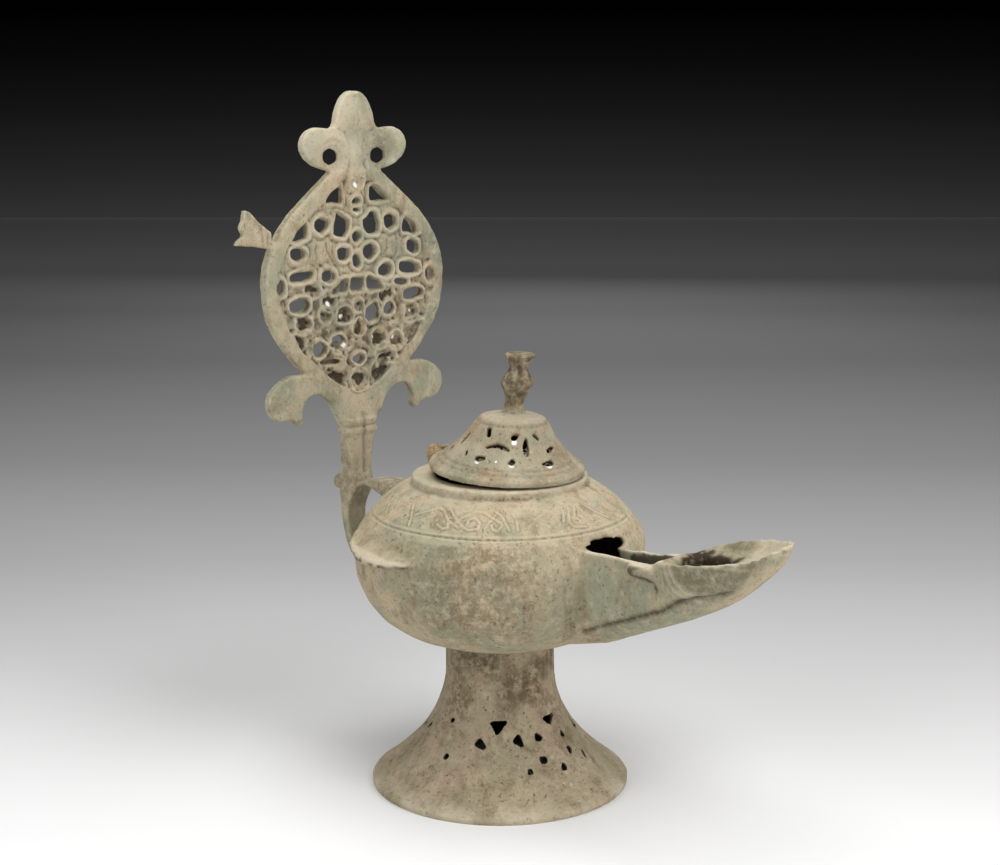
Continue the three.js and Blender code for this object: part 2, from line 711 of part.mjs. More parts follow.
function gripOutline() {
  const front = -handleReach + stemDepth / 2;
  const back = -handleReach - stemDepth / 2;
  const heel = back - loopBelly;
  const palm = heel + loopThickness;
  const top = bowlBottom + loopRise;
  const low = bowlBottom + loopFoot;
  const root = -bellyRadius + 5;
  const point = (x, z) => new THREE.Vector2(x, z);
  const shape = new THREE.Shape();
  shape.moveTo(back, stemTop);
  shape.lineTo(heel + 0.4, top);
  shape.splineThru([point(heel, top - 7), point(heel + 0.3, top - 14), point(heel + 1.9, top - 21),
    point(palm + 1, low + 4), point(root - 14, low - 2.4), point(root, low - 3)]);
  shape.lineTo(root, low + 2);
  shape.splineThru([point(root - 12, low + 2.6), point(palm + 3.6, low + 6.6), point(palm + 0.6, top - 20),
    point(palm, top - 14), point(palm + 2, top - 9), point(palm + 5.3, top - 4.6), point(palm + 10.6, top - 3.4),
    point(root - 5, top - 8)]);
  shape.lineTo(root + 2, top - 5);
  shape.splineThru([point(root - 5.2, top - 1.6), point(root - 10, top), point(front + 6.6, top - 1.2),
    point(front + 1.2, top - 3)]);
  shape.lineTo(front, top + 1);
  shape.lineTo(front, stemTop);
  return shape;
}

function gripSolid() {
  const side = plate(gripOutline(), collarBandWidth, 2).rotateX(Math.PI / 2);
  const top = bowlBottom + loopRise;
  const half = loopWidth / 2;
  const front = [
    [-half, bowlBottom], [half, bowlBottom], [half, top + 1], [collarBandWidth / 2 - 1.8, stemTop - 8],
    [collarBandWidth / 2 - 0.4, stemTop], [-collarBandWidth / 2 + 0.4, stemTop],
    [-collarBandWidth / 2 + 1.8, stemTop - 8], [-half, top + 1],
  ];
  const waist = upright(plate(shapeOf(front), 2 * handleReach)).translate(-handleReach, 0, 0);
  const button = new THREE.CylinderGeometry(buttonRadius, buttonRadius + 0.5, buttonReach + 1, 12)
    .rotateZ(Math.PI / 2)
    .translate(-handleReach - stemDepth / 2 - loopBelly - buttonReach / 2 + 0.5, 0, top - 5);
  return solidOf(side).intersect(solidOf(waist)).add(solidOf(button));
}

function collarBands() {
  return [0, 1].map((row) => {
    const z = stemTop - 0.2 + row * (collarBandHeight + collarBandGap) + collarBandHeight / 2;
    const band = new THREE.BoxGeometry(stemDepth + 1.2, collarBandWidth, collarBandHeight + 0.2);
    return solidOf(band.translate(-handleReach, 0, z));
  });
}

// The panel is drawn on a grid 40 units to each side of its middle and 86 units tall
const gridAcross = panelHalfWidth / 40;
const gridUp = panelHeight / 86;
const onGrid = ([u, v]) => [u * gridAcross, panelFoot + v * gridUp];

function mirrored(half) {
  return [...half, ...half.map(([u, v]) => [-u, v]).reverse()];
}

function smooth(points, steps, closed = false) {
  const curve = new THREE.CatmullRomCurve3(points.map(([x, y]) => new THREE.Vector3(x, y, 0)), closed, "centripetal");
  return curve.getPoints(steps).map((p) => [p.x, p.y]);
}

// Half the medallion's outline, from its foot up to the waist under the finial
const medallionEdge = smooth([[6.6, -1.2], [8.4, 3.4], [14.5, 11], [24.6, 19], [31.6, 26.4], [37.6, 35], [40, 46],
  [39.4, 54.6], [35.4, 63], [28.8, 70.8], [19.2, 78.4], [10.6, 85]], 17);
const fieldEdge = smooth([[2.4, 9.4], [10, 14.2], [20.4, 22], [27, 28.6], [32, 36], [34.8, 45], [34.2, 53.4],
  [30.8, 60.4], [24.8, 67], [17, 73.4], [9, 79.8], [3, 83]], 12);
// The leaf hook at the medallion's foot, from its root round to its inner curve
const hookEdge = smooth([[22, 17.4], [28.8, 18], [35.2, 15.8], [39.6, 11.4], [39.2, 6.4], [35.2, 3.2], [30, 3.2],
  [27, 0.6], [25.2, 1.6], [25.6, 5], [23, 9.6], [18.4, 10.6], [13, 7.4], [10, 2], [7.2, -2.2]], 25);
// The three-lobed finial: half of its outline from the waist to its tip
const finialEdge = smooth([[10.6, 85], [16.8, 86.4], [21.8, 89.8], [23.4, 94], [21.4, 97.6], [16.8, 99.6],
  [11, 99], [9, 100], [8, 104], [5.6, 108.8], [2.6, 111.2], [0.6, 111.6]], 18);

// The openings are listed as they show between rounded straps; this much of their width lies under the rounding
const cellSplay = 1.9;

// Openings between the scrolls. Each [across, up, width, height, kind, turn] is cut on both sides of the middle
const scrollCells = [
  [10.5, 76.9, 6.2, 3.8, "corner", 0],
  [15.7, 67.4, 4.6, 4.6, "eye", 0],
  [6.7, 66.8, 4.4, 6.4, "bean", 6],
  [25.2, 65.4, 4.8, 4, "corner", -8],
  [25.7, 58.2, 4.4, 4, "eye", 0],
  [6, 57.4, 4.2, 4, "eye", 0],
  [24.4, 50.7, 8, 2.8, "bar", -4],
  [13, 50.4, 4.8, 3.6, "cell", 0],
  [33.8, 47.6, 2.2, 4.8, "eye", 0],
  [8.2, 46.4, 5.6, 3.4, "corner", 0],
  [20.2, 46, 5, 2, "eye", 0],
  [25.9, 41.5, 7.2, 3.4, "cell", 0],
  [13.2, 42, 5.4, 2.6, "cell", 12],
  [24.4, 34.9, 4.4, 4, "eye", 0],
  [6.2, 36.3, 3.8, 4.2, "bean", 12],
  [14.4, 37.2, 3.2, 2.4, "cell", 20],
  [9.2, 27.2, 4.6, 4.4, "cell", 14],
  [17.4, 25.7, 4.4, 3.8, "eye", 0],
  [25.5, 28.4, 7.6, 1.8, "bar", 56],
  [12.2, 20.9, 7, 1.7, "bar", 2],
  [10.3, 16.5, 7.2, 3.6, "corner", 34],
];
// Openings on the middle line: [up, width, height, kind]
const middleCells = [
  [80.8, 3, 2.4, "lozenge"], [74.8, 2.6, 1.8, "eye"], [71.9, 2, 1.4, "eye"], [62.6, 2.4, 4, "eye"],
  [54.4, 2.3, 5, "eye"], [46.5, 5, 4, "square"], [39.6, 2.6, 2, "eye"], [31.8, 3, 6.4, "eye"],
  [20.8, 5.4, 3.2, "lozenge"], [13.6, 5.6, 5.2, "drop"],
];
// The eyes of the finial's side lobes
const finialEye = [10.6, 89.9, 8, 6];

function cellOutline(kind, w, h) {
  if (kind === "corner") return [[-w / 2, -h / 2], [w / 2, -h / 2], [w / 5, h / 8], [-w / 3, h / 2], [-w / 2, h / 2]];
  if (kind === "bar") return roundish(w, h, 6, 0.6);
  if (kind === "cell") return roundish(w, h, 6, 0.9);
  if (kind === "square") return [[-w / 2, -h / 2], [w / 2, -h / 2], [w / 2, h / 2], [-w / 2, h / 2]];
  if (kind === "lozenge") return [[-w / 2, 0], [0, -h / 2], [w / 2, 0], [0, h / 2]];
  if (kind === "drop") return [[0, -h / 2], [w / 2, h / 5], [w / 4, h / 2], [-w / 4, h / 2], [-w / 2, h / 5]];
  if (kind === "bean") {
    return [[w / 2, -h / 2], [w / 2, h / 2], [0, h / 2], [-w / 2, h / 4], [-w / 2, -h / 4], [-w / 5, -h / 2]];
  }
  return roundish(w, h, 6);
}

function cutter(across, up, w, h, kind, turn, side) {
  const [y, z] = onGrid([across * side, up]);
  const spin = turn * degree * side;
  const outline = cellOutline(kind, w * gridAcross, h * gridUp).map(([a, b]) => {
    const x = a * side;
    return [y + x * Math.cos(spin) - b * Math.sin(spin), z + x * Math.sin(spin) + b * Math.cos(spin)];
  });
  return solidOf(upright(plate(shapeOf(outline), 3 * frameThickness)));
}

function drawn(points, thickness) {
  return solidOf(upright(plate(shapeOf(points.map(onGrid)), thickness)));
}

function panelSolid() {
  const medallion = drawn(mirrored(medallionEdge), frameThickness);
  const within = mirrored(fieldEdge);
  const window = drawn(within, 3 * frameThickness);
  const field = drawn(within, fieldThickness);
  const hook = [...hookEdge, [-1, -2.2], [-1, 14]];
  const hooks = [1, -1].map((side) => drawn(hook.map(([u, v]) => [u * side, v]), leafThickness));
  const finial = drawn(mirrored(finialEdge), leafThickness);
  const foot = drawn(mirrored([[6.9, -5], [7, 0.4]]), frameThickness);
  const tail = drawn([[-36, 60.4], [-44.4, 62], [-51.4, 62.6], [-50, 65.6], [-49.4, 68.4], [-48, 70.6], [-47.6, 74],
    [-45, 73.2], [-41.6, 69.8], [-36.4, 66.2]], fieldThickness);
  const cuts = middleCells.map(([up, w, h, kind]) => cutter(0, up, w + 0.6 * cellSplay, h, kind, 0, 1));
  for (const side of [1, -1]) {
    for (const [across, up, w, h, kind, turn] of scrollCells) {
      cuts.push(cutter(across, up, w + cellSplay, h + 0.4 * cellSplay, kind, turn, side));
    }
    cuts.push(cutter(...finialEye, "eye", 0, side));
  }
  const border = joined([medallion, ...hooks]).subtract(window);
  return joined([border, field, finial, foot, tail]).subtract(joined(cuts));
}

function handleSolid() {
  const panel = panelSolid().translate([-handleReach, 0, 0]);
  const bowlRoom = solidOf(turned([[0, 0], [neckRadius, 0], [seatRadius, bowlBottom - 1],
    ...insetProfile(bowlCurves(6), -gripGap), [0, collarTop]]));
  return joined([gripSolid(), ...collarBands(), panel]).subtract(bowlRoom);
}

// Assembly

function bronze(color, roughness) {
  return new THREE.MeshStandardMaterial({ color, roughness, metalness: 0.35 });
}

function piece(name, solid, material) {
  const mesh = new THREE.Mesh(geometryOf(solid), material);
  mesh.name = name;
  return mesh;
}

const patina = bronze(0xa09a80, 0.85);
const darkPatina = bronze(0x8f876c, 0.88);
const rust = bronze(0x6f5238, 0.95);

const lamp = new THREE.Group();
const foot = piece("foot", footSolid(), darkPatina);
const bowl = piece("bowl", bowlSolid(), patina);
const handle = piece("handle", handleSolid(), patina);
const pin = piece("hinge_pin", hingePinSolid(), rust);
pin.position.set(-hingeReach, 0, hingeHeight);
const lid = piece("lid", lidSolid(), patina);
const lidGroup = new THREE.Group();
lidGroup.position.set(lidShift, 0, collarTop + rimCentreRise());
lidGroup.rotation.y = lidTilt * degree;
lidGroup.add(lid);
lamp.add(foot, bowl, handle, pin, lidGroup);

// The origin lies on the standing surface, in the middle of the lamp's length and width
const extent = new THREE.Box3().setFromObject(lamp, true);
lamp.position.set(-(extent.min.x + extent.max.x) / 2, 0, 0);
lamp.updateMatrixWorld(true);

export default lamp;
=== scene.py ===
import math
import bpy
import bmesh
import numpy as np
from mathutils import Matrix, Vector, kdtree, noise


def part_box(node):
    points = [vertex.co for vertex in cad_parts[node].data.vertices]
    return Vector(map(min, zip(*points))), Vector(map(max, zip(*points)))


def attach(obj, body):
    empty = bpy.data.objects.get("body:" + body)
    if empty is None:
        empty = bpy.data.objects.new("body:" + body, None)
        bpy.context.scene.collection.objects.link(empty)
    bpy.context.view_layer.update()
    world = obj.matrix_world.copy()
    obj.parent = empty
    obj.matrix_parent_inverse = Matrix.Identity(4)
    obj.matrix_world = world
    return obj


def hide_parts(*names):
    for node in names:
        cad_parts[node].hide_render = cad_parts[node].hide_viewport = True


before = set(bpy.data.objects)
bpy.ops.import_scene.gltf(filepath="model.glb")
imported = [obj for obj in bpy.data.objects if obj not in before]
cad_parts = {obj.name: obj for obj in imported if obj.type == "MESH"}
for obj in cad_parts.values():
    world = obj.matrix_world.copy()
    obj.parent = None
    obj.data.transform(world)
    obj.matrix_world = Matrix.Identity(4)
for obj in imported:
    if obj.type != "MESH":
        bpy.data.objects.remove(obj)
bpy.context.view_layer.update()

mm = 0.001
footLow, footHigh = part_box("foot")
axisX = (footLow[0] + footHigh[0]) / 2     # the lamp's turning axis stands at this x, y is 0


# ---- shared helpers

def solidCopy(node, name):
    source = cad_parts[node]
    mesh = source.data.copy()
    mesh.name = name
    mesh.transform(source.matrix_world)
    bm = bmesh.new()
    bm.from_mesh(mesh)
    bmesh.ops.remove_doubles(bm, verts=bm.verts, dist=0.00001)
    bmesh.ops.triangulate(bm, faces=bm.faces)
    bm.to_mesh(mesh)
    bm.free()
    mesh.materials.clear()
    piece = bpy.data.objects.new(name, mesh)
    bpy.context.scene.collection.objects.link(piece)
    return piece


def bake(piece):                            # modifiers become plain mesh
    graph = bpy.context.evaluated_depsgraph_get()
    mesh = bpy.data.meshes.new_from_object(piece.evaluated_get(graph))
    old = piece.data
    piece.modifiers.clear()
    piece.data = mesh
    bpy.data.meshes.remove(old)


def remesh(piece, voxel):
    step = piece.modifiers.new("castSkin", "REMESH")
    step.mode = "VOXEL"
    step.voxel_size = voxel * mm
    bake(piece)


def thinOut(piece, share):                  # fewer triangles where the surface is calm
    step = piece.modifiers.new("thinOut", "DECIMATE")
    step.ratio = share
    bake(piece)


def coordsOf(mesh):
    flat = np.empty(len(mesh.vertices) * 3)
    mesh.vertices.foreach_get("co", flat)
    return flat.reshape(-1, 3)


def normalsOf(mesh):
    flat = np.empty(len(mesh.vertices) * 3, dtype=np.float32)
    mesh.vertex_normals.foreach_get("vector", flat)
    return flat.reshape(-1, 3).astype(float)


def setCoords(mesh, coords):
    mesh.vertices.foreach_set("co", coords.ravel())
    mesh.update()


def lampCoords(mesh):                       # millimetres, from the lamp's own axis
    coords = coordsOf(mesh) / mm
    coords[:, 0] -= axisX / mm
    return coords


def setLampCoords(mesh, coords):
    moved = coords.copy()
    moved[:, 0] += axisX / mm
    setCoords(mesh, moved * mm)


def soften(piece, times, factor=0.5, mask=None):
    bm = bmesh.new()
    bm.from_mesh(piece.data)
    bm.verts.ensure_lookup_table()
    verts = bm.verts[:] if mask is None else [bm.verts[i] for i in np.nonzero(mask)[0]]
    for _ in range(times):
        bmesh.ops.smooth_vert(bm, verts=verts, factor=factor, use_axis_x=True, use_axis_y=True, use_axis_z=True)
    bm.to_mesh(piece.data)
    bm.free()


def refine(piece, mask, cuts):              # a finer mesh where lines are engraved
    bm = bmesh.new()
    bm.from_mesh(piece.data)
    bm.verts.ensure_lookup_table()
    edges = [e for e in bm.edges if mask[e.verts[0].index] and mask[e.verts[1].index]]
    bmesh.ops.subdivide_edges(bm, edges=edges, cuts=cuts, use_grid_fill=True)
    bm.to_mesh(piece.data)
    bm.free()


def ramp(values, low, high):                # 0 below low, 1 above high, smooth between
    t = np.clip((values - low) / (high - low), 0, 1)
    return t * t * (3 - 2 * t)


def bell(values, middle, width):            # 1 at the middle, fading out on either side
    return np.exp(-((values - middle) / width) ** 2)


def grain(points, size, seed=0):            # soft noise with features of this size in mm
    shift = Vector((seed * 7.3, seed * 3.1, seed * 5.7))
    return np.array([noise.noise(Vector(p) / size + shift) for p in points])


def nearest(points, targets):
    tree = kdtree.KDTree(len(targets))
    for i, target in enumerate(targets):
        tree.insert(target, i)
    tree.balance()
    return np.array([tree.find(p)[2] for p in points])


def within(values, low, high, soft):        # 1 between low and high with soft ends
    return ramp(values, low - soft, low + soft) * (1 - ramp(values, high - soft, high + soft))


def reachOf(coords):                        # distance from the lamp's axis
    return np.hypot(coords[:, 0], coords[:, 1])


def lineDistance(points, line):             # how far flat points lie from a drawn line
    best = np.full(len(points), 1000.0)
    for start, end in zip(line[:-1], line[1:]):
        start, end = np.array(start, float), np.array(end, float)
        along = np.clip((points - start) @ (end - start) / ((end - start) @ (end - start)), 0, 1)
        gap = points - start - along[:, None] * (end - start)
        best = np.minimum(best, np.hypot(gap[:, 0], gap[:, 1]))
    return best


def nearestLine(points, lines):
    return np.minimum.reduce([lineDistance(points, line) for line in lines])


def roundOut(coords, sides, keep=None):     # the solids are turned with flat sides; this makes them round
    x, y = coords[:, 0], coords[:, 1]
    step = 2 * math.pi / sides
    turn = np.mod(np.arctan2(y, x), step) - step / 2
    grow = np.cos(turn) / math.cos(step / 2)
    if keep is not None:
        grow = 1 + (grow - 1) * keep
    return np.stack([x * grow, y * grow, coords[:, 2]], 1)


def roughen(coords, normals, dents=0.12, pits=0.2, seed=0, weight=1.0):
    wide = grain(coords, 9, seed)
    small = grain(coords, 2.6, seed + 1)
    fine = grain(coords, 1.2, seed + 2)
    depth = dents * wide + 0.35 * dents * small - pits * ramp(fine, 0.36, 0.62) * ramp(wide, -0.3, 0.3)
    return coords + normals * (depth * weight)[:, None]


def mark(mesh, **layers):                   # dirt, stains, painted shade, a painted highlight and so on from 0 to 1, read by the patina
    for name in ("grime", "stain", "pale", "rust", "chalk", "cool"):
        layer = mesh.attributes.new(name, "FLOAT", "POINT")
        values = layers.get(name, 0) + np.zeros(len(mesh.vertices))
        layer.data.foreach_set("value", np.clip(values, 0, 1).astype(np.float32))


def finishPiece(piece, body, slot, material, *nodes):
    piece.data.materials.clear()
    piece.data.materials.append(material)
    piece.data.shade_smooth()
    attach(piece, body)
    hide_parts(*nodes)
    print(piece.name, "has", sum(len(p.vertices) - 2 for p in piece.data.polygons), "triangles")


# ---- patina

def tone(red, green, blue):                 # colours are noted as they look on screen
    return tuple(((c / 255 + 0.055) / 1.055) ** 2.4 for c in (red, green, blue)) + (1,)


def patina(name, look):
    material = bpy.data.materials.new(name)
    material.use_nodes = True
    tree = material.node_tree
    nodes, links = tree.nodes, tree.links
    shader = nodes["Principled BSDF"]
    place = nodes.new("ShaderNodeTexCoord")

    def mapped(stretch=(1, 1, 1), turn=(0, 0, 0)):
        node = nodes.new("ShaderNodeMapping")
        node.inputs["Location"].default_value = look.get("shift", (0, 0, 0))
        node.inputs["Rotation"].default_value = turn
        node.inputs["Scale"].default_value = stretch
        links.new(place.outputs["Object"], node.inputs["Vector"])
        return node.outputs["Vector"]

    plain = mapped()
    streaky = mapped((1, 1, 0.62), (0.25, 0.2, 0))

    def cloud(size, detail=4, rough=0.6, warp=0.0, vector=None):
        node = nodes.new("ShaderNodeTexNoise")
        node.inputs["Scale"].default_value = 1 / (size * mm)
        node.inputs["Detail"].default_value = detail
        node.inputs["Roughness"].default_value = rough
        node.inputs["Distortion"].default_value = warp
        links.new(plain if vector is None else vector, node.inputs["Vector"])
        return node.outputs["Fac"]

    def band(source, low, high, top=1.0):
        node = nodes.new("ShaderNodeMapRange")
        node.interpolation_type = "SMOOTHSTEP"
        node.inputs["From Min"].default_value = low
        node.inputs["From Max"].default_value = high
        node.inputs["To Max"].default_value = top
        links.new(source, node.inputs["Value"])
        return node.outputs["Result"]

    def fill(socket, value):
        if isinstance(value, bpy.types.NodeSocket):
            links.new(value, socket)
        else:
            socket.default_value = value

    def blend(first, second, amount):
        node = nodes.new("ShaderNodeMix")
        node.data_type = "RGBA"
        for socket, value in ((node.inputs[6], first), (node.inputs[7], second), (node.inputs[0], amount)):
            fill(socket, value)
        return node.outputs[2]

    def combine(kind, first, second):
        node = nodes.new("ShaderNodeMath")
        node.operation = kind
        node.use_clamp = True
        for socket, value in zip(node.inputs, (first, second)):
            fill(socket, value)
        return node.outputs[0]

    def marked(name):
        node = nodes.new("ShaderNodeAttribute")
        node.attribute_name = name
        return node.outputs["Fac"]

    blotch = look["blotch"]
    color = blend(look["base"], look["green"], band(cloud(blotch, 4, 0.6, 0.5), 0.46, 0.62, look["greenShare"]))
    color = blend(color, look["tan"], band(cloud(blotch * 0.6, 4, 0.65, 0.7), 0.52, 0.66, look["tanShare"]))
    # green-grey mix: patina, plus painted shade on the spout's downward faces
    color = blend(color, look["cool"], combine("MULTIPLY", marked("cool"), band(cloud(5, 6, 0.75), 0.3, 0.6)))
    color = blend(color, look["brown"], band(cloud(6.5, 8, 0.78, 0.3, streaky), 0.48, 0.66, look["brownShare"]))
    color = blend(color, look["dust"], band(cloud(3.4, 8, 0.8, 0.2, streaky), 0.5, 0.66, look["dustShare"]))
    color = blend(color, look["brown"], band(cloud(1.4, 6, 0.8), 0.5, 0.7, 0.45))
    # darker stain mix: stains, plus painted shade on the foot's top, around the handle's eye holes and on the bowl's
    # ear
    color = blend(color, look["stain"], combine("MULTIPLY", marked("stain"), band(cloud(2.6, 6, 0.7), 0.34, 0.6)))
    speck = cloud(1.1, 5, 0.7)
    color = blend(color, look["speck"], band(speck, 0.57, 0.67, look["speckShare"]))
    cavity = nodes.new("ShaderNodeNewGeometry").outputs["Pointiness"]
    color = blend(color, look["dirtAndShade"], band(cavity, 0.49, 0.43, look["hollowShare"]))
    color = blend(color, look["worn"], band(cavity, 0.52, 0.6, look["edgeShare"]))
    # pale mix: wear, plus a painted highlight on the wings' tops
    color = blend(color, look["worn"], combine("MULTIPLY", marked("pale"), band(cloud(1.8, 5, 0.7), 0.25, 0.5)))
    # dark mix: dirt, plus painted shade under and on the ear and under the wings
    color = blend(color, look["dirtAndShade"], combine("MULTIPLY", marked("grime"), band(cloud(2.4, 5, 0.7), 0.2, 0.46)))
    rusty = blend(look["rustLight"], look["rustDark"], band(cloud(1.6, 5, 0.7), 0.4, 0.6))
    color = blend(color, rusty, combine("MULTIPLY", marked("rust"), band(cloud(2.0, 5, 0.7), 0.2, 0.42)))
    color = blend(color, look["chalk"], marked("chalk"))
    links.new(color, shader.inputs["Base Color"])

    shine = nodes.new("ShaderNodeMapRange")
    shine.inputs["To Min"].default_value = look["rough"] - 0.1
    shine.inputs["To Max"].default_value = look["rough"] + 0.12
    links.new(cloud(4, 4, 0.6), shine.inputs["Value"])
    links.new(shine.outputs["Result"], shader.inputs["Roughness"])
    shader.inputs["Metallic"].default_value = look["metal"]
    shader.inputs["Specular IOR Level"].default_value = 0.25

    bump = nodes.new("ShaderNodeBump")
    bump.inputs["Strength"].default_value = look["bump"]
    bump.inputs["Distance"].default_value = 0.22 * mm
    height = combine("SUBTRACT", cloud(1.5, 7, 0.72, 0.0, streaky), band(speck, 0.58, 0.7, 0.5))
    links.new(height, bump.inputs["Height"])
    links.new(bump.outputs["Normal"], shader.inputs["Normal"])
    return material


bronzeLook = {
    "base": tone(178, 167, 141), "green": tone(154, 153, 128), "tan": tone(188, 167, 138),
    # the stain and dirt colours also paint shade, and the worn colour also paints a highlight on the wings
    "brown": tone(138, 120, 92), "dust": tone(202, 191, 166), "speck": tone(96, 84, 62), "stain": tone(104, 91, 68),
    "dirtAndShade": tone(58, 46, 34), "worn": tone(208, 198, 174), "chalk": tone(250, 248, 244),
    "cool": tone(132, 136, 118), "rustLight": tone(178, 154, 122), "rustDark": tone(128, 102, 72),
    "blotch": 22, "greenShare": 0.75, "tanShare": 0.6, "brownShare": 0.7, "dustShare": 0.5, "speckShare": 0.75,
    "hollowShare": 0.7, "edgeShare": 0.4, "rough": 0.8, "metal": 0.0, "bump": 0.85,
}
bowlLook = dict(bronzeLook, base=tone(182, 167, 139), green=tone(158, 156, 130), tan=tone(194, 170, 140),
                brown=tone(134, 116, 87), cool=tone(144, 150, 128), greenShare=0.8, blotch=26,
                shift=(0.02, 0.01, 0.0))
footLook = dict(bronzeLook, base=tone(170, 156, 130), green=tone(152, 143, 116), tan=tone(182, 158, 136),
                brown=tone(122, 104, 78), cool=tone(138, 134, 112), tanShare=0.75, brownShare=0.75,
                speckShare=0.9, dustShare=0.35, bump=1.0, shift=(0.07, 0.03, 0.01))
handleLook = dict(bronzeLook, base=tone(178, 167, 141), green=tone(154, 156, 131), tan=tone(188, 166, 138),
                  tanShare=0.7, greenShare=0.8, hollowShare=0.85, edgeShare=0.5, shift=(0.11, 0.0, 0.05))
lidLook = dict(bronzeLook, base=tone(158, 146, 122), tan=tone(176, 150, 124), cool=tone(140, 140, 119),
               dust=tone(188, 176, 150), worn=tone(190, 179, 156), tanShare=0.8, greenShare=0.6,
               shift=(0.0, 0.09, 0.02))
rustLook = dict(bronzeLook, base=tone(178, 154, 124), green=tone(152, 128, 96), tan=tone(190, 166, 134),
                brown=tone(124, 98, 70), dust=tone(196, 176, 148), blotch=4, brownShare=0.8, bump=1.0)
print("patinas described")


# ---- foot

footSizes = {
    "rimRadius": 42, "rimHeight": 1.6, "neckRadius": 17.6, "flareTop": 41, "flarePower": 2.3, "ringPower": 1.2,
    "rings": 7, "sides": 32, "voxel": 0.42, "keep": 0.58, "bandLines": (13.6, 35.6), "lineDepth": 0.22,
    "cellsLow": 9, "cellsHigh": 39, "eaten": 0.4, "dents": 0.2, "pits": 0.34,
}


def footRadius(z):
    s = footSizes
    rise = np.clip((z - s["rimHeight"]) / (s["flareTop"] - s["rimHeight"]), 0, 1)
    return s["neckRadius"] + (s["rimRadius"] - s["neckRadius"]) * (1 - rise) ** s["flarePower"]


def footSlope(z):                           # how fast the foot's radius changes with height
    return (footRadius(z + 0.2) - footRadius(z - 0.2)) / 0.4


def makeFoot():
    s = footSizes
    piece = solidCopy("foot", "footCast")
    remesh(piece, s["voxel"])
    mesh = piece.data
    coords = roundOut(lampCoords(mesh), s["sides"])
    z, reach = coords[:, 2], reachOf(coords)
    climb = (np.arange(s["rings"] + 1) / s["rings"]) ** s["ringPower"]
    rings = s["rimHeight"] + (s["flareTop"] - s["rimHeight"]) * climb
    change = np.where(z > s["rimHeight"], footRadius(z) - np.interp(z, rings, footRadius(rings)), 0)
    coords[:, :2] *= ((reach + change) / reach)[:, None]
    setLampCoords(mesh, coords)
    soften(piece, 1)

    coords = lampCoords(mesh)               # the cells' walls are eaten back a little
    normals = normalsOf(mesh)
    slope = footSlope(coords[:, 2])
    facing = (normals[:, 0] * coords[:, 0] + normals[:, 1] * coords[:, 1]) / reachOf(coords) - normals[:, 2] * slope
    wall = 1 - ramp(np.abs(facing) / np.hypot(1, slope), 0.35, 0.8)
    wall *= within(coords[:, 2], s["cellsLow"], s["cellsHigh"], 1)
    setLampCoords(mesh, coords - normals * (s["eaten"] * wall)[:, None])

    coords = lampCoords(mesh)
    normals = normalsOf(mesh)
    z = coords[:, 2]
    outside = ramp(reachOf(coords) - footRadius(z), -1.0, -0.4)
    for line in s["bandLines"]:             # worn turned lines above and below the pierced band
        coords -= normals * (s["lineDepth"] * bell(z, line, 0.5) * outside)[:, None]
    coords = roughen(coords, normals, s["dents"], s["pits"], 3, ramp(z, 0.2, 1.4))
    coords[:, 2] = np.maximum(coords[:, 2], 0.0)
    setLampCoords(mesh, coords)
    thinOut(piece, s["keep"])
    mesh = piece.data
    coords = lampCoords(mesh)
    z = coords[:, 2]
    deep = footRadius(z) - reachOf(coords)
    outside = ramp(-deep, -1.0, -0.4)
    wide = grain(coords, 12, 5)
    # darker towards the top of the foot: painted shadow of the bowl above, broken up by noise; the second term is
    # mottled stain
    stain = outside * (0.75 * ramp(z, 16, 38) * ramp(wide, -0.5, 0.2) + 0.35 * ramp(wide, 0.0, 0.4))
    pale = outside * 0.6 * (1 - ramp(z, 1.5, 6)) * ramp(wide, -0.3, 0.3)
    cool = 0.4 * outside * ramp(grain(coords, 14, 6), 0.05, 0.4)
    mark(mesh, grime=ramp(deep, 0.7, 1.8), stain=stain, pale=pale, cool=cool)
    finishPiece(piece, "lamp", "foot_bronze", patina("footPatina", footLook), "foot")


# ---- bowl with its spout, wings and hinge ears

bowlSizes = {
    "voxel": 0.92, "sides": 32, "belly": 46.8, "bottom": 49.3, "seat": 18.6, "bellyStart": 26.7, "bellyBand": 5.5,
    "shoulder": 18.3, "fullness": 1.38, "collar": 28.2, "collarTop": 102.4, "rings": 6, "smoothRings": 60,
    "ringLines": (90.0, 91.1), "lineDepth": 0.2, "lineWidth": 0.3, "hinge": (-25.4, 105.4),
    "dents": 0.16, "pits": 0.2, "dashes": 120, "scratchRadius": 44, "scratchGap": 1.7,
    # the band of straps: its heights, the radius it is unrolled at and how much it is stretched upward
    "bandLow": 91.6, "bandHigh": 99.0, "bandRadius": 42, "bandStretch": 1.5, "bandRepeat": 125,
    "spoutFrom": 47, "channelTo": 73.5, "channelHalf": 7.9, "cup": (82.5, 4.5), "cupReach": (10.5, 8.5),
}

# The worn straps engraved on the shoulder: each line as (turn, height)
shoulderStraps = [
    [(-97, 97), (-92, 94.4), (-89.5, 92)],
    [(-90, 94.8), (-85, 96.1), (-79, 97.5), (-75, 97), (-70, 94.6), (-64, 93.3)],
    [(-74, 98.3), (-67, 95.5), (-62, 93.6)],
    [(-66, 94.6), (-62, 96.5), (-57, 97.4), (-54, 97.4)],
    [(-75, 93.6), (-73, 93), (-71, 92.7), (-69, 93.1), (-70, 94.1)],
    [(-63, 93.7), (-59, 92.9), (-55, 93.3), (-54.5, 94.7), (-57, 95.8), (-60, 95.4), (-60.5, 94.5)],
    [(-54, 97.4), (-51, 96.7), (-47, 95.6), (-44, 94.4), (-46, 92.8), (-48, 93.1), (-49, 94.3)],
    [(-48, 97.9), (-44, 96.4), (-42, 94.4), (-41, 93)],
    [(-39, 97.5), (-37, 95.6), (-37, 93.1)],
    [(-10, 97.6), (-14, 94.2)],
    [(-6, 97.8), (-11, 94), (-10, 92.6), (-4, 92.1)],
    [(-2, 97.5), (-6, 95.3)],
    [(4, 97.2), (9, 94.6), (14, 92.6)],
]
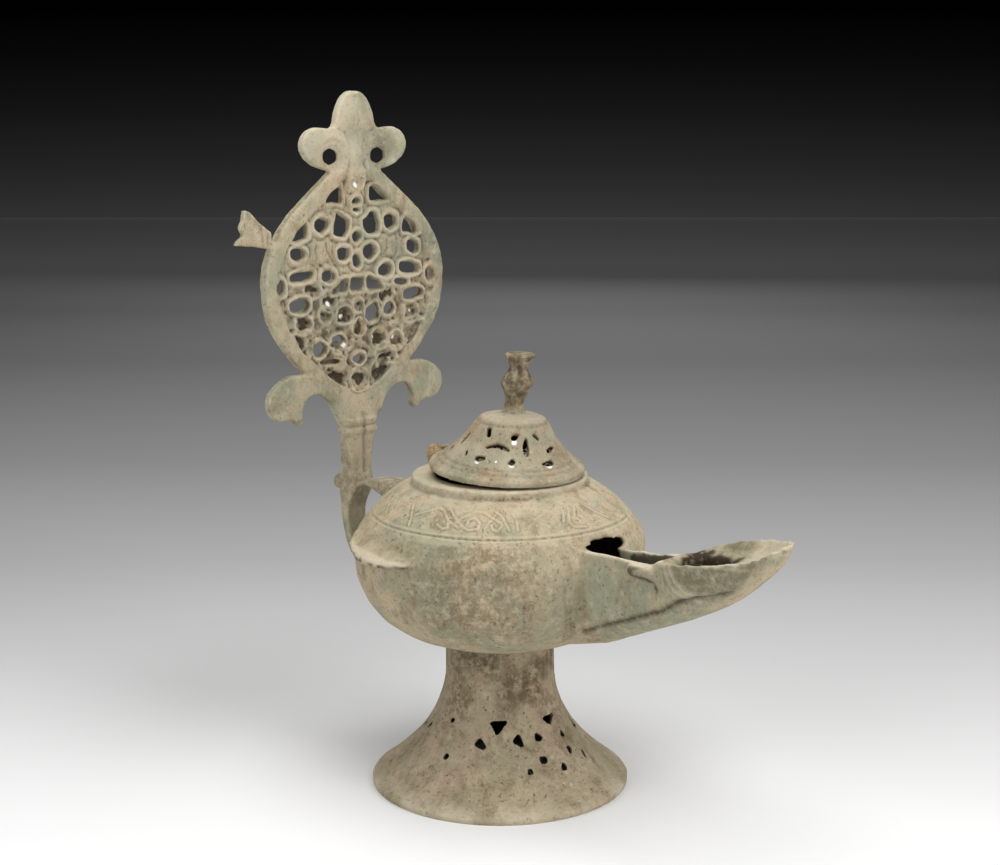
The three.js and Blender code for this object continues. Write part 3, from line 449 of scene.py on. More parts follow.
faintStraps = [
    [(-33, 97.3), (-27, 94.8), (-22, 93.2)],
    [(-33, 93.2), (-27, 95.4), (-20, 97.2)],
    [(-22, 93.4), (-18, 92.8), (-16, 94.2), (-18, 95.4)],
    [(-88, 93.2), (-82, 94.6), (-77, 96.2)],
    [(-84, 97.8), (-80, 95.2), (-77, 93.2)],
    [(-52, 93.2), (-50, 95), (-46, 97.6)],
    [(-95, 93.6), (-91, 96.4), (-87, 98)],
    [(-15, 93), (-12, 95.6), (-7, 98)],
    [(8, 97.8), (14, 95), (19, 93)],
]
# Lines on the spout's side, each as (along, height)
spoutArris = [
    (46, 61.7), (55.6, 65.9), (68.1, 71), (75.6, 74.2), (83, 78.7), (90.2, 81.7), (104.3, 85.6), (109, 88.6),
]
spoutRibs = [
    [(80.2, 91.5), (82, 87.6), (84.2, 84), (87, 82.6), (90.6, 82.3), (97, 83.4)],
    [(78.4, 89.5), (80.4, 85.4), (82.6, 82.4), (85.8, 80.9), (90.2, 80.6)],
]
earShadow = [(64.5, 83.2), (69.5, 83), (73.6, 80.2)]
# Two fine lines scratched down the side where the spout begins, as (turn, height)
scratch = [(-19.7, 86), (-20.2, 72), (-14.8, 57)]


def bowlCurve(steps):                       # outer profile of the bowl from its seat to its collar
    s = bowlSizes
    low, high = s["bottom"] + s["bellyStart"], s["bottom"] + s["bellyStart"] + s["bellyBand"]
    turn = np.arange(1, steps + 1) / steps * math.pi / 2
    under = np.stack([s["seat"] + (s["belly"] - s["seat"]) * np.sin(turn), low - s["bellyStart"] * np.cos(turn)], 1)
    turn = np.arange(steps + 1) / steps * math.pi / 2
    power = 2 / s["fullness"]
    over = np.stack([
        s["collar"] + (s["belly"] - s["collar"]) * np.cos(turn).clip(0, 1) ** power,
        high + s["shoulder"] * np.sin(turn) ** power], 1)
    return np.concatenate([[[s["seat"], s["bottom"]]], under, over])


def polar(profile, middle):                 # distance by angle about a point on the axis
    dr, dz = profile[:, 0], profile[:, 1] - middle
    return np.arctan2(dz, dr), np.hypot(dr, dz)


def onShoulder(turn, height):               # turn and height become flat millimetres on the shoulder
    return np.stack([np.radians(turn) * bowlSizes["bandRadius"], height * bowlSizes["bandStretch"]], 1)


def strapDistance(turn, height, lines):
    flat = onShoulder(turn, height)
    return nearestLine(flat, [onShoulder(*np.array(line, float).T) for line in lines])


def makeBowl():
    s = bowlSizes
    piece = solidCopy("bowl", "bowlCast")
    remesh(piece, s["voxel"])
    coords = lampCoords(piece.data)
    x, y, z = coords.T
    reach = reachOf(coords)
    turn = np.degrees(np.arctan2(y, x))
    curve = bowlCurve(s["smoothRings"])
    band = (reach > 33) & (z > 88.8) & (z < 99.4) & (x < s["spoutFrom"]) & (turn > -122) & (turn < 30)
    refine(piece, band & (reach > np.interp(z, curve[:, 1], curve[:, 0]) - 1.2), 2)
    mesh = piece.data
    coords = lampCoords(mesh)
    body = 1 - ramp(reachOf(coords), s["belly"] + 0.8, s["belly"] + 3.5)
    coords = roundOut(coords, s["sides"], body)
    middle = s["bottom"] + s["bellyStart"]
    angle, far = polar(np.stack([reachOf(coords), coords[:, 2]], 1), middle)
    coarse = np.interp(angle, *polar(bowlCurve(s["rings"]), middle))
    smooth = np.interp(angle, *polar(curve, middle))
    near = 1 - ramp(np.abs(far - coarse), 1.0, 2.6)
    grow = 1 + (smooth - coarse) * near / far
    coords[:, :2] *= grow[:, None]
    coords[:, 2] = middle + (coords[:, 2] - middle) * grow
    setLampCoords(mesh, coords)
    soften(piece, 1)
    coords = lampCoords(mesh)
    x, y, z = coords.T
    soften(piece, 12, 0.5, (reachOf(coords) > 33) & (z > 88) & (z < 99.8) & (x < s["spoutFrom"]))
    soften(piece, 3, 0.5, (x > 54) & (np.abs(y) < 17) & (z < 97))
    coords = lampCoords(mesh)
    normals = normalsOf(mesh)
    coords = roughen(coords, normals, s["dents"], s["pits"], 11)

    x, y, z = coords.T                      # the engraved band, its ring lines and the scratches
    reach = reachOf(coords)
    turn = np.degrees(np.arctan2(y, x))
    angle, far = polar(np.stack([reach, z], 1), middle)
    deep = np.interp(angle, *polar(curve, middle)) - far
    outside = 1 - ramp(deep, 0.7, 1.4)
    onBand = outside * within(z, s["bandLow"], s["bandHigh"], 0.4) * (reach > 30)
    some = onBand > 0.01
    strap = np.full(len(x), 1000.0)
    faint = strap.copy()
    for shift in (0, s["bandRepeat"], -s["bandRepeat"]):     # repeated on the hidden sides
        moved = (turn[some] - shift + 180) % 360 - 180
        for lines, store in ((shoulderStraps, strap), (faintStraps, faint)):
            store[some] = np.minimum(store[some], strapDistance(moved, z[some], lines))
    groove = bell(strap, 0.75, s["lineWidth"]) + 0.5 * bell(faint, 0.75, s["lineWidth"])
    ridge = bell(strap, 0, 0.42) + 0.5 * bell(faint, 0, 0.42)
    rings = sum(bell(z, line, 0.34) for line in s["ringLines"]) * outside * (x < s["spoutFrom"])
    between = bell(z, np.mean(s["ringLines"]), 0.3) * outside
    dashes = between * ramp(np.sin(np.radians(turn) * s["dashes"]), -0.2, 0.4)
    dashes *= ramp(turn, -78, -70) * (1 - ramp(turn, -40, -36))
    under = outside * bell(z, 99.9, 0.6) * (reach < 31) * (x < 26)
    incised = np.full(len(x), 1000.0)
    wall = (z > 56) & (z < 88) & (x > 30) & (y < 0) & (y > -24)
    here = np.stack([np.radians(turn[wall]) * s["scratchRadius"], z[wall]], 1)
    incised[wall] = nearestLine(here, [
        [(math.radians(t + more) * s["scratchRadius"], h) for t, h in scratch] for more in (0, s["scratchGap"])])
    depth = s["lineDepth"] * (groove * onBand - 0.5 * ridge * onBand - 0.8 * rings + 0.8 * between + 0.4 * dashes)
    depth += 0.3 * under + 0.2 * bell(incised, 0, 0.45) * outside

    side = ramp(np.abs(normals[:, 1]), 0.35, 0.7) * (x > 44) * (np.abs(y) > 5)
    profile = np.stack([x, z], 1)
    arris = lineDistance(profile, spoutArris)
    rib = sum(bell(lineDistance(profile, line), 0, 0.7) for line in spoutRibs) * (x > 76) * side
    depth += 0.6 * bell(arris, 0, 0.8) * side - 0.4 * rib
    coords = coords - normals * depth[:, None]
    notches = grain(np.stack([x, 0 * y, 0 * z], 1), 2.4, 17)
    wing = ramp(reach, s["belly"] + 0.8, s["belly"] + 2) * (np.abs(y) > 30) * (z < 90)
    coords[:, 2] += 0.5 * wing * ramp(-normals[:, 2], 0.2, 0.8) * ramp(notches, 0.0, 0.4)
    setLampCoords(mesh, coords)

    up = normals[:, 2]                      # dirt inside, in the channel and the nozzle, stains outside, painted shade under and on the ear and under the wings, and a painted highlight on the wings' tops
    wide = grain(coords, 7, 13)
    small = grain(coords, 2.5, 14)
    inner = ramp(deep, 1.2, 2.2) * (z < s["collarTop"] - 1) * (x < 47.5)
    channel = (x > 44) * (x < s["channelTo"]) * (np.abs(y) < s["channelHalf"]) * ramp(z, 62, 66) * (up > -0.3)
    channel *= 1 - ramp(up, 0.75, 0.95) * ramp(z, 84, 86)
    channel *= z > np.interp(x, *np.array(spoutArris).T) + 0.5
    cup = np.hypot((x - s["cup"][0]) / s["cupReach"][0], (y - s["cup"][1]) / s["cupReach"][1]) + 0.5 * small
    cup = (1 - ramp(cup, 0.75, 1.05)) * (1 - ramp(z + 1.5 * small, 88.6, 90))
    cup *= (z > 78) * (z < 96) * (x < 95) * (np.abs(y) < 13.4) * (up > -0.3)
    hinge = np.hypot(x - s["hinge"][0], z - s["hinge"][1])
    rust = (1 - ramp(hinge, 3.2, 4.6)) * (np.abs(y) < 7.5) * (z > 102.8)
    # painted shadow along the line beneath the ear
    shade = bell(lineDistance(profile, earShadow), 0, 1.0) * (y < -9) * (x > 60) * (up < 0.5)
    # painted shade: the darkening and staining of the ear's face and the left end of its top stand in for its
    # undercut and notch
    earFace = (x > 63.6) * (x < 74) * (z > 83) * (z < 86.2) * (up < 0.4) * (y < -8.5)
    earTop = (x > 63) * (x < 75) * (z > 84.5) * (z < 92) * (up > 0.4) * ramp(-y, 10.2, 11)
    grime = np.maximum.reduce([
        inner, 0.85 * channel, cup, 0.9 * shade, 0.12 * dashes, 0.75 * bell(arris, 0, 0.55) * side,
        0.7 * earTop * (1 - ramp(x + small, 67, 69)), 0.8 * earFace * (1 - ramp(x + small, 66, 67.4)),
        # painted shadow under the wings
        0.8 * wing * (1 - ramp(up, 0.0, 0.4)) * ramp(notches, -0.5, 0.1)])
    stain = np.maximum.reduce([
        0.8 * bell(arris, 0, 1.3) * side, 0.35 * groove * onBand, 0.5 * between, 0.35 * earFace, 0.4 * earTop,
        0.3 * under + 0.3 * outside * (z > 100) * (reach > 27), 0.5 * bell(incised, 0, 0.5) * outside,
        outside * (z < 88.5) * (0.12 + 0.5 * ramp(-np.abs(turn + 55), -40, -8) * ramp(z, 54, 66)),
        0.6 * (x > 78) * side * ramp(z, 82, 84), 0.2 * outside * ramp(wide, 0.0, 0.5)])
    thin = (x > 46) * (x < 74) * ramp(up, 0.6, 0.9) * (z > 83.5) * (np.abs(y) > 6.4) * (1 - ramp(-y, 9.8, 10.6))
    nozzle = ramp(x, 90, 96) * ramp(up, 0.2, 0.6) * (z > 84)
    pale = np.maximum.reduce([
        # the wing term paints a highlight on the wings' tops
        0.3 * ridge * onBand, 0.3 * rings, 0.8 * thin, 0.55 * nozzle, 0.7 * wing * ramp(up, 0.2, 0.6),
        0.25 * outside * (z > 96) * ramp(wide, -0.2, 0.3), 0.5 * rib, 0.4 * (z > 101.6) * (reach < 29)])
    flankGreen = outside * bell(turn, -24, 13) * (1 - ramp(z, 86, 91)) * ramp(z, 52, 60)
    sideGreen = outside * bell(turn, -72, 9) * (z > 58) * (z < 88)
    spoutGreen = (x > 48) * (x < 76) * side * ramp(z, 64, 68)
    # green patina with painted shade on the spout's downward faces under the arris
    keelGreen = (x > 50) * (z < 76) * (arris < 7) * (up < 0)
    cool = np.maximum.reduce([
        0.85 * (x > 74) * side * (y < 0), 0.8 * spoutGreen, 0.9 * keelGreen, 0.35 * flankGreen, 0.5 * sideGreen,
        0.8 * earTop, 0.5 * outside * ramp(wide, 0.1, 0.4)])
    mark(mesh, grime=grime, stain=stain, pale=pale, rust=rust, cool=cool)
    finishPiece(piece, "lamp", "bowl_bronze", patina("bowlPatina", bowlLook), "bowl")


# ---- handle

handleSizes = {
    "voxel": 0.48, "plane": -70, "foot": 114, "gridFoot": 111.1, "beadAway": 0.95, "beadRise": 0.8, "beadWidth": 0.62,
    "grooveAway": 2.2, "grooveDepth": 0.3, "eyeAcross": 10.4, "eyeHeight": 201, "dents": 0.14, "pits": 0.2,
    "plug": 1.1, "plugBack": 0.35, "gridWide": 0.985, "lugNotch": 1.8,
    # half the width of the openwork, by height above its foot
    "fieldUp": (9.4, 14.2, 22, 28.6, 36, 45, 53.4, 60.4, 67, 73.4, 79.8, 83),
    "fieldHalf": (2.4, 10, 20.4, 27, 32, 34.8, 34.2, 30.8, 24.8, 17, 9, 3),
}
# Cells that corrosion has filled on one side only: (across, up from the panel's foot, radius, how dirty)
filledCells = [
    (-20.2, 46, 2.6, 0.9), (13.2, 42, 2.8, 0.9), (-13.2, 42, 2.8, 0.9), (-14.4, 37.2, 2.2, 0.7),
    (-6.2, 36.3, 2.6, 0.9), (0, 39.6, 1.8, 0.7), (24.4, 34.9, 2.8, 0.25), (-24.4, 34.9, 2.8, 0.9),
    (0, 31.8, 2.2, 0.9), (9.2, 27.2, 2.8, 0.9), (17.4, 25.7, 2.8, 0.6), (-25.5, 28.4, 4.4, 0.9),
    (25.5, 28.4, 4.4, 0.3), (12.2, 20.9, 4.2, 0.9), (-12.2, 20.9, 4.2, 0.7), (10.3, 16.5, 4.2, 0.9),
    (-10.3, 16.5, 4.2, 0.9), (0, 13.6, 3.4, 0.9), (0, 80.8, 2.2, 0.3), (-8.2, 46.4, 1.6, 0.5), (-9.2, 26, 1.7, 0.6),
]
# Small bright deposits: (across, height, radius)
chalkSpots = [
    (-12.8, 151.9, 0.9), (-6.9, 147.3, 0.8), (-6.7, 137.6, 0.9), (6.8, 139.0, 0.6), (15.8, 138.2, 0.8),
    (24.2, 146.6, 0.8), (-0.5, 191.6, 1.0), (-0.2, 181.2, 0.5), (0.2, 149.4, 0.4),
]
# Lines engraved on both halves of the plate, as (across, height), then those on one side only
halfLines = [
    [(4.2, 185), (5.2, 190), (4.4, 195), (3, 199)],
    [(3.4, 199), (2.6, 203.5), (4.6, 208.5), (7.6, 210)],
    [(14, 163), (17, 166.5), (18.4, 170), (17.6, 173.4)],
    [(11, 166.4), (13.4, 169.4), (13.8, 172.6)],
    [(7.4, 176), (12, 174.4), (15.6, 175.6)],
    [(28.6, 158.6), (30.8, 163.4), (31.2, 169)],
    [(9.4, 126), (16.6, 131), (23.4, 136)],
]
plateLines = halfLines + [[(-across, height) for across, height in line] for line in halfLines]
plateLines += [[(-37.4, 172.6), (-38, 179)], [(-39.6, 172.8), (-40.2, 179.4)], [(0.8, 60), (0.8, 108)]]


def fillCells(mesh):                        # thin plugs of corrosion a little behind the plate's front
    s = handleSizes
    bm = bmesh.new()
    bm.from_mesh(mesh)
    for across, up, radius, _ in filledCells:
        plug = bmesh.ops.create_cone(bm, cap_ends=True, segments=12, radius1=radius * mm, radius2=radius * mm,
                                     depth=s["plug"] * mm)["verts"]
        bmesh.ops.rotate(bm, cent=(0, 0, 0), matrix=Matrix.Rotation(math.pi / 2, 3, "Y"), verts=plug)
        place = Vector((s["plane"] - s["plugBack"], across * s["gridWide"], s["gridFoot"] + up)) * mm
        bmesh.ops.translate(bm, vec=place + Vector((axisX, 0, 0)), verts=plug)
    bm.to_mesh(mesh)
    bm.free()


def makeHandle():
    s = handleSizes
    piece = solidCopy("handle", "handleCast")
    fillCells(piece.data)
    remesh(piece, s["voxel"])
    soften(piece, 3)
    mesh = piece.data
    x, y, z = lampCoords(mesh).T
    soften(piece, 3, 0.5, z > s["foot"] + 3)
    soften(piece, 14, 0.5, (z > 190) & (z < 200) & (np.abs(y) < 12))
    soften(piece, 8, 0.5, np.hypot(np.abs(y) - s["eyeAcross"], z - s["eyeHeight"]) < 6)

    coords = lampCoords(mesh)               # beads and grooves follow the edges of the openings
    normals = normalsOf(mesh)
    x, y, z = coords.T
    away = np.abs(x - s["plane"])
    plate = ramp(z, s["foot"] + 2, s["foot"] + 5) * (away < 3)
    front = (x > s["plane"]) * 1.0
    half = np.interp(z - s["gridFoot"], s["fieldUp"], s["fieldHalf"], left=0, right=0)
    field = plate * (away < 1.9) * (1 - ramp(np.abs(y) - half, 0.2, 0.9))
    eye = np.hypot(np.abs(y) - s["eyeAcross"], z - s["eyeHeight"])
    finial = plate * ramp(z, 193, 197)
    brink = (field > 0.5) & (x > s["plane"] + 0.25) | (plate > 0.5) & (eye < 5) & (x > s["plane"] + 0.8)
    brink &= (normals[:, 0] > 0.2) & (normals[:, 0] < 0.62)
    gap = np.full(len(x), 9.0)
    chosen = plate > 0.01
    flat = np.stack([0 * y, y, z], 1)
    gap[chosen] = nearest(flat[chosen], flat[brink])
    level = ramp(away, 0.35, 0.85)
    facing = ramp(np.abs(normals[:, 0]), 0.15, 0.55) * np.sign(x - s["plane"])
    worn = 0.6 + 0.4 * ramp(grain(coords, 6, 21), -0.3, 0.3)
    bead = bell(gap, s["beadAway"], s["beadWidth"])
    relief = s["beadRise"] * bead * worn - s["grooveDepth"] * bell(gap, s["grooveAway"], 0.5) * worn
    relief += 0.35 * ramp(gap, 2.6, 3.6) * field
    relief *= np.where(field > 0.5, 1.0, 0.3) * plate * level
    relief -= 0.7 * bell(eye, 3.0, 2.2) * finial
    relief += 0.45 * bell(eye, 6.4, 0.9) * finial * (1 - ramp(np.abs(y), 12, 15))

    lines = nearestLine(np.stack([y, z], 1), plateLines)
    groove = bell(lines, 0, 0.45) * np.where(z > s["foot"], plate, front * 0.6)
    relief -= 0.35 * groove
    filled = np.zeros(len(x))
    strap = np.zeros(len(x))
    for across, up, radius, dirty in filledCells:
        far = np.hypot(y - across * s["gridWide"], z - s["gridFoot"] - up)
        strap = np.maximum(strap, bell(far, radius + s["beadAway"], s["beadWidth"]))
        filled = np.maximum(filled, dirty * (1 - ramp(far, radius - 0.2, radius + 0.6)))
    lower = (1 - ramp(z, 150, 164)) * field
    crust = grain(coords, 1.7, 22)
    strap *= field * level * ramp(gap, 1.2, 2.2)
    relief += 0.9 * s["beadRise"] * strap * worn
    relief += lower * (1 - 0.7 * strap) * (0.45 * ramp(crust, 0.0, 0.5) - 0.35 * ramp(-crust, 0.1, 0.5))
    x += relief * facing
    y += 0.9 * field * grain(coords, 5, 27)
    z += 0.9 * field * grain(coords, 5, 28)
    lugEnd = y.min()                        # a broken, two-pronged end
    atEnd = 1 - ramp(y, lugEnd + 1.5, lugEnd + 4.5)
    y += s["lugNotch"] * atEnd * bell(z, z[atEnd > 0.6].mean() + 0.3, 1.5)
    away = np.abs(x - s["plane"])
    coords = roughen(coords, normalsOf(mesh), s["dents"], s["pits"], 23)
    setLampCoords(mesh, coords)
    soften(piece, 1, 0.4)

    wide = grain(coords, 10, 24)
    small = grain(coords, 3, 25)
    plug = (1 - ramp(away, 0.55, 0.95)) * plate * (np.abs(y) < 33) * (z < 194)
    through = plate * (1 - ramp(np.abs(normals[:, 0]), 0.25, 0.6)) * (gap < 1.4) * (z < 194)
    beaded = level * bell(gap, s["beadAway"], 0.5)
    between = field * bell(gap, s["grooveAway"], 0.6)
    dirtyField = lower * (1 - ramp(y, 14, 26)) * ramp(small, -0.15, 0.3)
    stem = (z < s["foot"]) * (z > 92) * bell(y, 0.8, 0.8) * (x > s["plane"] + 1)
    grime = np.maximum.reduce([
        plug * filled, 0.6 * dirtyField * (1 - beaded) * (1 - strap), 0.4 * stem,
        0.6 * through * ramp(filled + 0.6 * lower * ramp(small, -0.2, 0.3), 0.1, 0.5)])
    stain = np.maximum.reduce([
        # the ring around the eye holes is painted shade for their dished rims
        0.5 * between * ramp(wide, -0.4, 0.2), 0.7 * groove, 0.45 * bell(eye, 3.6, 1.1) * plate * (z > 194),
        0.45 * lower * ramp(wide, -0.5, 0.1), 0.6 * plug, 0.55 * (z < s["foot"]) * ramp(-wide, -0.5, 0.1)])
    pale = np.maximum.reduce([
        0.6 * field * beaded * ramp(wide, -0.4, 0.2), 0.5 * strap * ramp(wide, -0.4, 0.2),
        0.6 * ramp(z, 190, 204) * ramp(wide, -0.6, 0.2), 0.15 * (z < 130) * ramp(wide, -0.3, 0.3)])
    chalk = np.zeros(len(x))
    for across, height, size in chalkSpots:
        far = np.hypot(y - across, z - height) + 0.5 * small
        chalk = np.maximum(chalk, 1 - ramp(far, 0.75 * size, size))
    cool = plate * (0.75 * ramp(grain(coords, 16, 26), -0.05, 0.3) + 0.5 * (1 - field) * ramp(y, 20, 34))
    mark(mesh, grime=grime, stain=stain, pale=pale, chalk=chalk * front * plate, cool=cool)
    finishPiece(piece, "lamp", "handle_bronze", patina("handlePatina", handleLook), "handle")


# ---- lid

lidSizes = {
    "voxel": 0.36, "tilt": 3.6, "shift": 3.1, "lean": 0.1, "edge": 1.6, "radius": 24.9, "shoulderRadius": 11.4,
    "shoulderHeight": 16.2, "crown": 18.6, "rimCentre": 104.31, "lines": (3.3, 4.5), "lineDepth": 0.22,
    "hinge": (-25.4, 105.4), "dents": 0.1, "pits": 0.16,
}
# Bright deposits in the openings' lower corners: (turn, height on the flank, radius)
lidChalk = [(-41, 12.0, 1.0), (-75.5, 6.3, 1.1), (-42.4, 6.2, 1.1), (-5.5, 5.9, 1.6), (-58, 6.6, 0.4)]


def makeLid():
    s = lidSizes
    piece = solidCopy("lid", "lidCast")
    remesh(piece, s["voxel"])
    soften(piece, 2)
    mesh = piece.data
    rise = lampCoords(mesh)[:, 2] - s["rimCentre"]
    soften(piece, 14, 0.5, (rise > s["shoulderHeight"] + 0.3) & (rise < s["crown"] + 1.5))
    coords = lampCoords(mesh)
    normals = normalsOf(mesh)
    tilt = math.radians(s["tilt"])
    px, pz = coords[:, 0] - s["shift"], coords[:, 2] - s["rimCentre"]
    lx = math.cos(tilt) * px - math.sin(tilt) * pz           # in the lid's own tilted frame
    lz = math.sin(tilt) * px + math.cos(tilt) * pz
    lx -= s["lean"] * np.maximum(lz - s["edge"], 0)
    y = coords[:, 1]
    reach = np.hypot(lx, y)
    top = s["shoulderHeight"]
    share = (lz - s["edge"]) / (top - s["edge"])
    flank = s["radius"] + (s["shoulderRadius"] - s["radius"]) * np.clip(share, 0, 1)
    outside = ramp(reach - flank, -3.4, -2.4) * (coords[:, 0] > -21)
    depth = sum(s["lineDepth"] * bell(lz, line, 0.35) for line in s["lines"]) * outside
    depth += 0.3 * bell(lz, top - 0.1, 0.5) * outside * (lz < 17)
    depth -= 0.25 * bell(lz, top + 0.8, 0.4) * (reach > 9) * (lz < 17.8)
    coords = coords - normals * depth[:, None]
    coords = roughen(coords, normals, s["dents"], s["pits"], 31)
    setLampCoords(mesh, coords)

    wide = grain(coords, 8, 33)
    small = grain(coords, 2.2, 34)
    inside = (1 - outside) * (lz < s["crown"] - 1) * (lz > 0.4) * (reach < flank - 1.6)
    inside *= 1 - ramp(normals[:, 2], 0, 0.3)
    hinge = np.hypot(coords[:, 0] - s["hinge"][0], coords[:, 2] - s["hinge"][1])
    rust = (1 - ramp(hinge, 2.9, 4.2)) * (np.abs(y) < 4)
    knob = ramp(lz, s["crown"] + 1, s["crown"] + 4) * (reach < 8)
    crown = ramp(lz, top + 0.5, top + 1.1) * (lz < s["crown"] + 2) * (reach > 4)
    grime = np.maximum(inside, 0.5 * knob * ramp(small, 0.05, 0.4))
    stain = np.maximum.reduce([
        knob * ramp(wide, -0.8, -0.3), 0.6 * outside * bell(lz, top + 0.1, 0.5) * (lz < 17.4),
        0.5 * outside * sum(bell(lz, line, 0.4) for line in s["lines"]), 0.35 * outside * ramp(wide, 0.1, 0.5)])
    pale = np.maximum(0.5 * crown, 0.4 * outside * ramp(-wide, 0.0, 0.4))
    turn = np.degrees(np.arctan2(y, lx))
    chalk = np.zeros(len(y))
    for middle, height, size in lidChalk:
        far = np.hypot(np.radians(turn - middle) * flank, (lz - height) * 1.3)
        chalk = np.maximum(chalk, (1 - ramp(far, 0.8 * size, size)) * (reach > flank - 1.8))
    cool = 0.6 * outside * ramp(grain(coords, 12, 35), 0.0, 0.3)
    mark(mesh, grime=grime, stain=stain, pale=pale, rust=rust, chalk=chalk, cool=cool)
    finishPiece(piece, "lid", "lid_bronze", patina("lidPatina", lidLook), "lid")


# ---- hinge pin with its crust of rust

pinSizes = {
    "voxel": 0.22, "lump": 3.5, "place": (-25.4, -5.0, 105.55), "farLump": 3.1, "farPlace": (-25.4, 4.7, 105.2),
    "uneven": 0.2, "flat": 0.6, "dents": 0.06, "pits": 0.3,
}


def rustLump(radius, place, name):
    s = pinSizes
    bm = bmesh.new()
    bmesh.ops.create_icosphere(bm, subdivisions=3, radius=radius * mm)
    for vert in bm.verts:
        point = vert.co / mm
        vert.co *= 1 + s["uneven"] * noise.noise(point / 1.6 + Vector(place))
    bmesh.ops.scale(bm, vec=(1.0, s["flat"], 1.0), verts=bm.verts)
    bmesh.ops.translate(bm, vec=Vector(place) * mm + Vector((axisX, 0, 0)), verts=bm.verts)
    mesh = bpy.data.meshes.new(name)
    bm.to_mesh(mesh)
    bm.free()
    return mesh


def makePin():
    s = pinSizes
    piece = solidCopy("hinge_pin", "hingePinRusted")
    bm = bmesh.new()
    bm.from_mesh(piece.data)
    bm.from_mesh(rustLump(s["lump"], s["place"], "nearLump"))
    bm.from_mesh(rustLump(s["farLump"], s["farPlace"], "farLump"))
    bm.to_mesh(piece.data)
    bm.free()
    remesh(piece, s["voxel"])
    soften(piece, 3)
    mesh = piece.data
    setLampCoords(mesh, roughen(lampCoords(mesh), normalsOf(mesh), s["dents"], s["pits"], 41))
    mark(mesh, rust=0.7)
    finishPiece(piece, "lamp", "rusted_pin", patina("rust", rustLook), "hinge_pin")


makeFoot()
makeBowl()
makeHandle()
makeLid()
makePin()
print("lamp dressed")


# ---- floor, light and camera

stageSizes = {
    "floor": 6.0, "wallAway": 2.6, "wallHigh": 0.9, "before": 0.3, "past": 2.4,
    # The floor's greys are painted light: a pool of white in front, painted shade to dark behind, and paler again far
    # back against the lamps' falloff: (metres behind the lamp, grey)
    "paintedLightPaper": ((-0.1, 0.9), (0.02, 0.74), (0.12, 0.6), (0.27, 0.43), (0.51, 0.3), (0.92, 0.21), (1.26, 0.245),
              (1.8, 0.61), (2.6, 0.93)),
    # and on up the wall, painted shade darkening to black: (metres up, grey)
    "wall": ((0.0, 0.22), (0.05, 0.156), (0.1, 0.106), (0.185, 0.048), (0.27, 0.019), (0.355, 0.002)),
}


def paintedLightPaper(name, direction, stops):          # painted light and shade: greys by the distance along one direction
    first, last = stops[0][0] - stageSizes["before"], stops[-1][0] + stageSizes["past"]
    material = bpy.data.materials.new(name)
    material.use_nodes = True
    nodes, links = material.node_tree.nodes, material.node_tree.links
    shader = nodes["Principled BSDF"]
    place = nodes.new("ShaderNodeTexCoord")
    along = nodes.new("ShaderNodeVectorMath")
    along.operation = "DOT_PRODUCT"
    along.inputs[1].default_value = direction
    links.new(place.outputs["Object"], along.inputs[0])
    offset = axisX * direction[0]
    away = nodes.new("ShaderNodeMapRange")
    away.inputs["From Min"].default_value = first + offset
    away.inputs["From Max"].default_value = last + offset
    links.new(along.outputs["Value"], away.inputs["Value"])
    greys = nodes.new("ShaderNodeValToRGB")
    elements = greys.color_ramp.elements
    while len(elements) < len(stops):
        elements.new(0.5)
    for element, (distance, grey) in zip(elements, stops):
        element.position = (distance - first) / (last - first)
        element.color = (grey, grey, grey, 1)
    links.new(away.outputs["Result"], greys.inputs["Fac"])
    links.new(greys.outputs["Color"], shader.inputs["Base Color"])
    shader.inputs["Roughness"].default_value = 0.9
    shader.inputs["Specular IOR Level"].default_value = 0.0
    return material


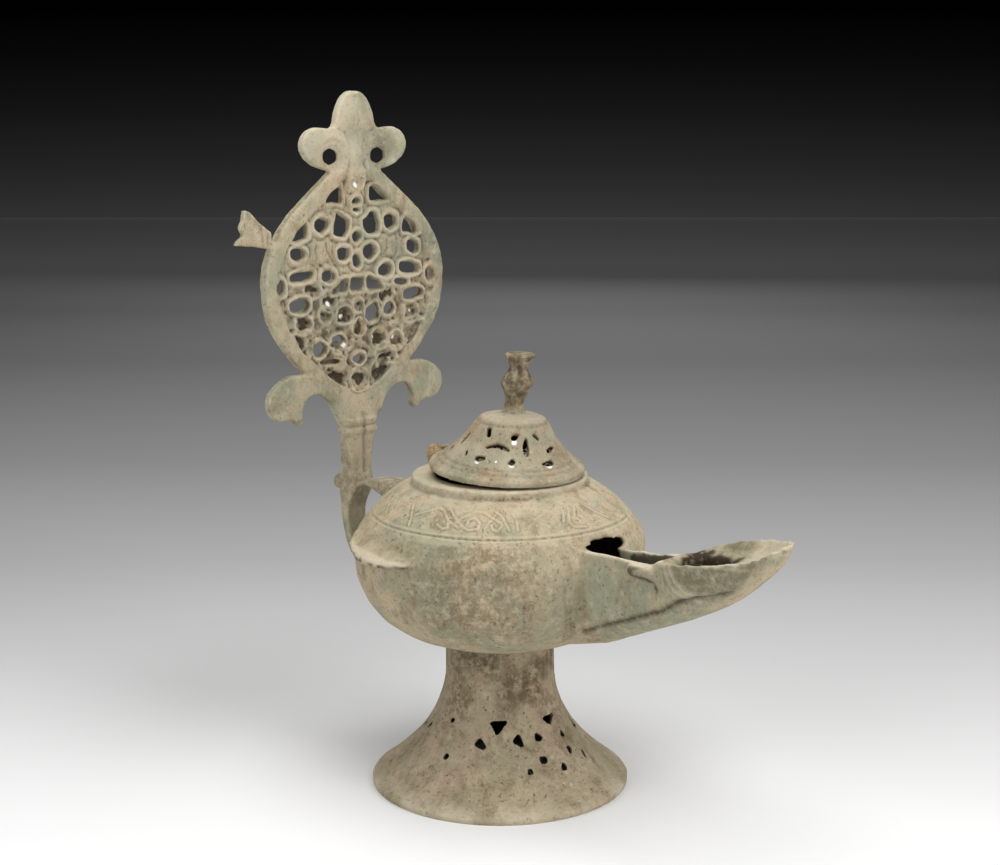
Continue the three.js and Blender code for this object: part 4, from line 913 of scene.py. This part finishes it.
def makeStage():
    s = stageSizes
    behind = Vector((-math.sqrt(0.5), math.sqrt(0.5), 0))
    turned = Matrix.Rotation(math.radians(45), 3, "Z")
    for name, material in (("studioFloor", paintedLightPaper("paintedLightFloor", behind, s["paintedLightPaper"])),
                           ("studioWall", paintedLightPaper("paintedShadeWall", (0, 0, 1), s["wall"]))):
        bm = bmesh.new()
        bmesh.ops.create_grid(bm, x_segments=1, y_segments=1, size=s["floor"])
        if name == "studioWall":
            bmesh.ops.rotate(bm, cent=(0, 0, 0), matrix=Matrix.Rotation(math.pi / 2, 3, "X"), verts=bm.verts)
            bmesh.ops.scale(bm, vec=(1, 1, s["wallHigh"] / s["floor"]), verts=bm.verts)
            bmesh.ops.rotate(bm, cent=(0, 0, 0), matrix=turned, verts=bm.verts)
            bmesh.ops.translate(bm, vec=behind * s["wallAway"] + Vector((axisX, 0, 0)), verts=bm.verts)
        mesh = bpy.data.meshes.new(name)
        bm.to_mesh(mesh)
        bm.free()
        mesh.materials.append(material)
        stage = bpy.data.objects.new(name, mesh)
        bpy.context.scene.collection.objects.link(stage)


def softLight(name, place, size, power):    # a round soft box aimed at the middle of the lamp
    light = bpy.data.lights.new(name, "AREA")
    light.shape = "DISK"
    light.size = size
    light.energy = power
    target = (axisX, 0, 0.1)
    holder = bpy.data.objects.new(name, light)
    holder.location = place
    holder.rotation_euler = (Vector(target) - Vector(place)).to_track_quat("-Z", "Y").to_euler()
    bpy.context.scene.collection.objects.link(holder)


cameraSizes = {"away": 558.3, "height": 223.3, "turn": -45, "pitch": 10.93, "lens": 64.15}


def makeCamera():
    s = cameraSizes
    turn = math.radians(s["turn"])
    data = bpy.data.cameras.new("studioCamera")
    data.lens = s["lens"]
    data.sensor_width = 36
    data.sensor_fit = "HORIZONTAL"
    data.clip_start = 0.01
    camera = bpy.data.objects.new("studioCamera", data)
    place = Vector((axisX + s["away"] * mm * math.cos(turn), s["away"] * mm * math.sin(turn), s["height"] * mm))
    pitch = math.radians(s["pitch"])
    look = Vector((-math.cos(turn) * math.cos(pitch), -math.sin(turn) * math.cos(pitch), -math.sin(pitch)))
    camera.location = place
    camera.rotation_euler = look.to_track_quat("-Z", "Y").to_euler()
    bpy.context.scene.collection.objects.link(camera)
    bpy.context.scene.camera = camera


makeStage()
makeCamera()
softLight("topLight", (axisX + 0.1, -0.1, 1.0), 1.0, 8.5)
softLight("leftLight", (-0.35, -1.05, 0.6), 0.8, 5.6)
softLight("rightLight", (1.05, 0.15, 0.6), 0.8, 8.8)
softLight("backLight", (-0.8, 0.9, 0.75), 0.8, 4)
world = bpy.data.worlds.new("studioAir")
world.use_nodes = True
world.node_tree.nodes["Background"].inputs["Color"].default_value = (1, 1, 1, 1)
world.node_tree.nodes["Background"].inputs["Strength"].default_value = 0.0006
bpy.context.scene.world = world
bpy.context.scene.view_settings.view_transform = "Standard"
print("studio set")
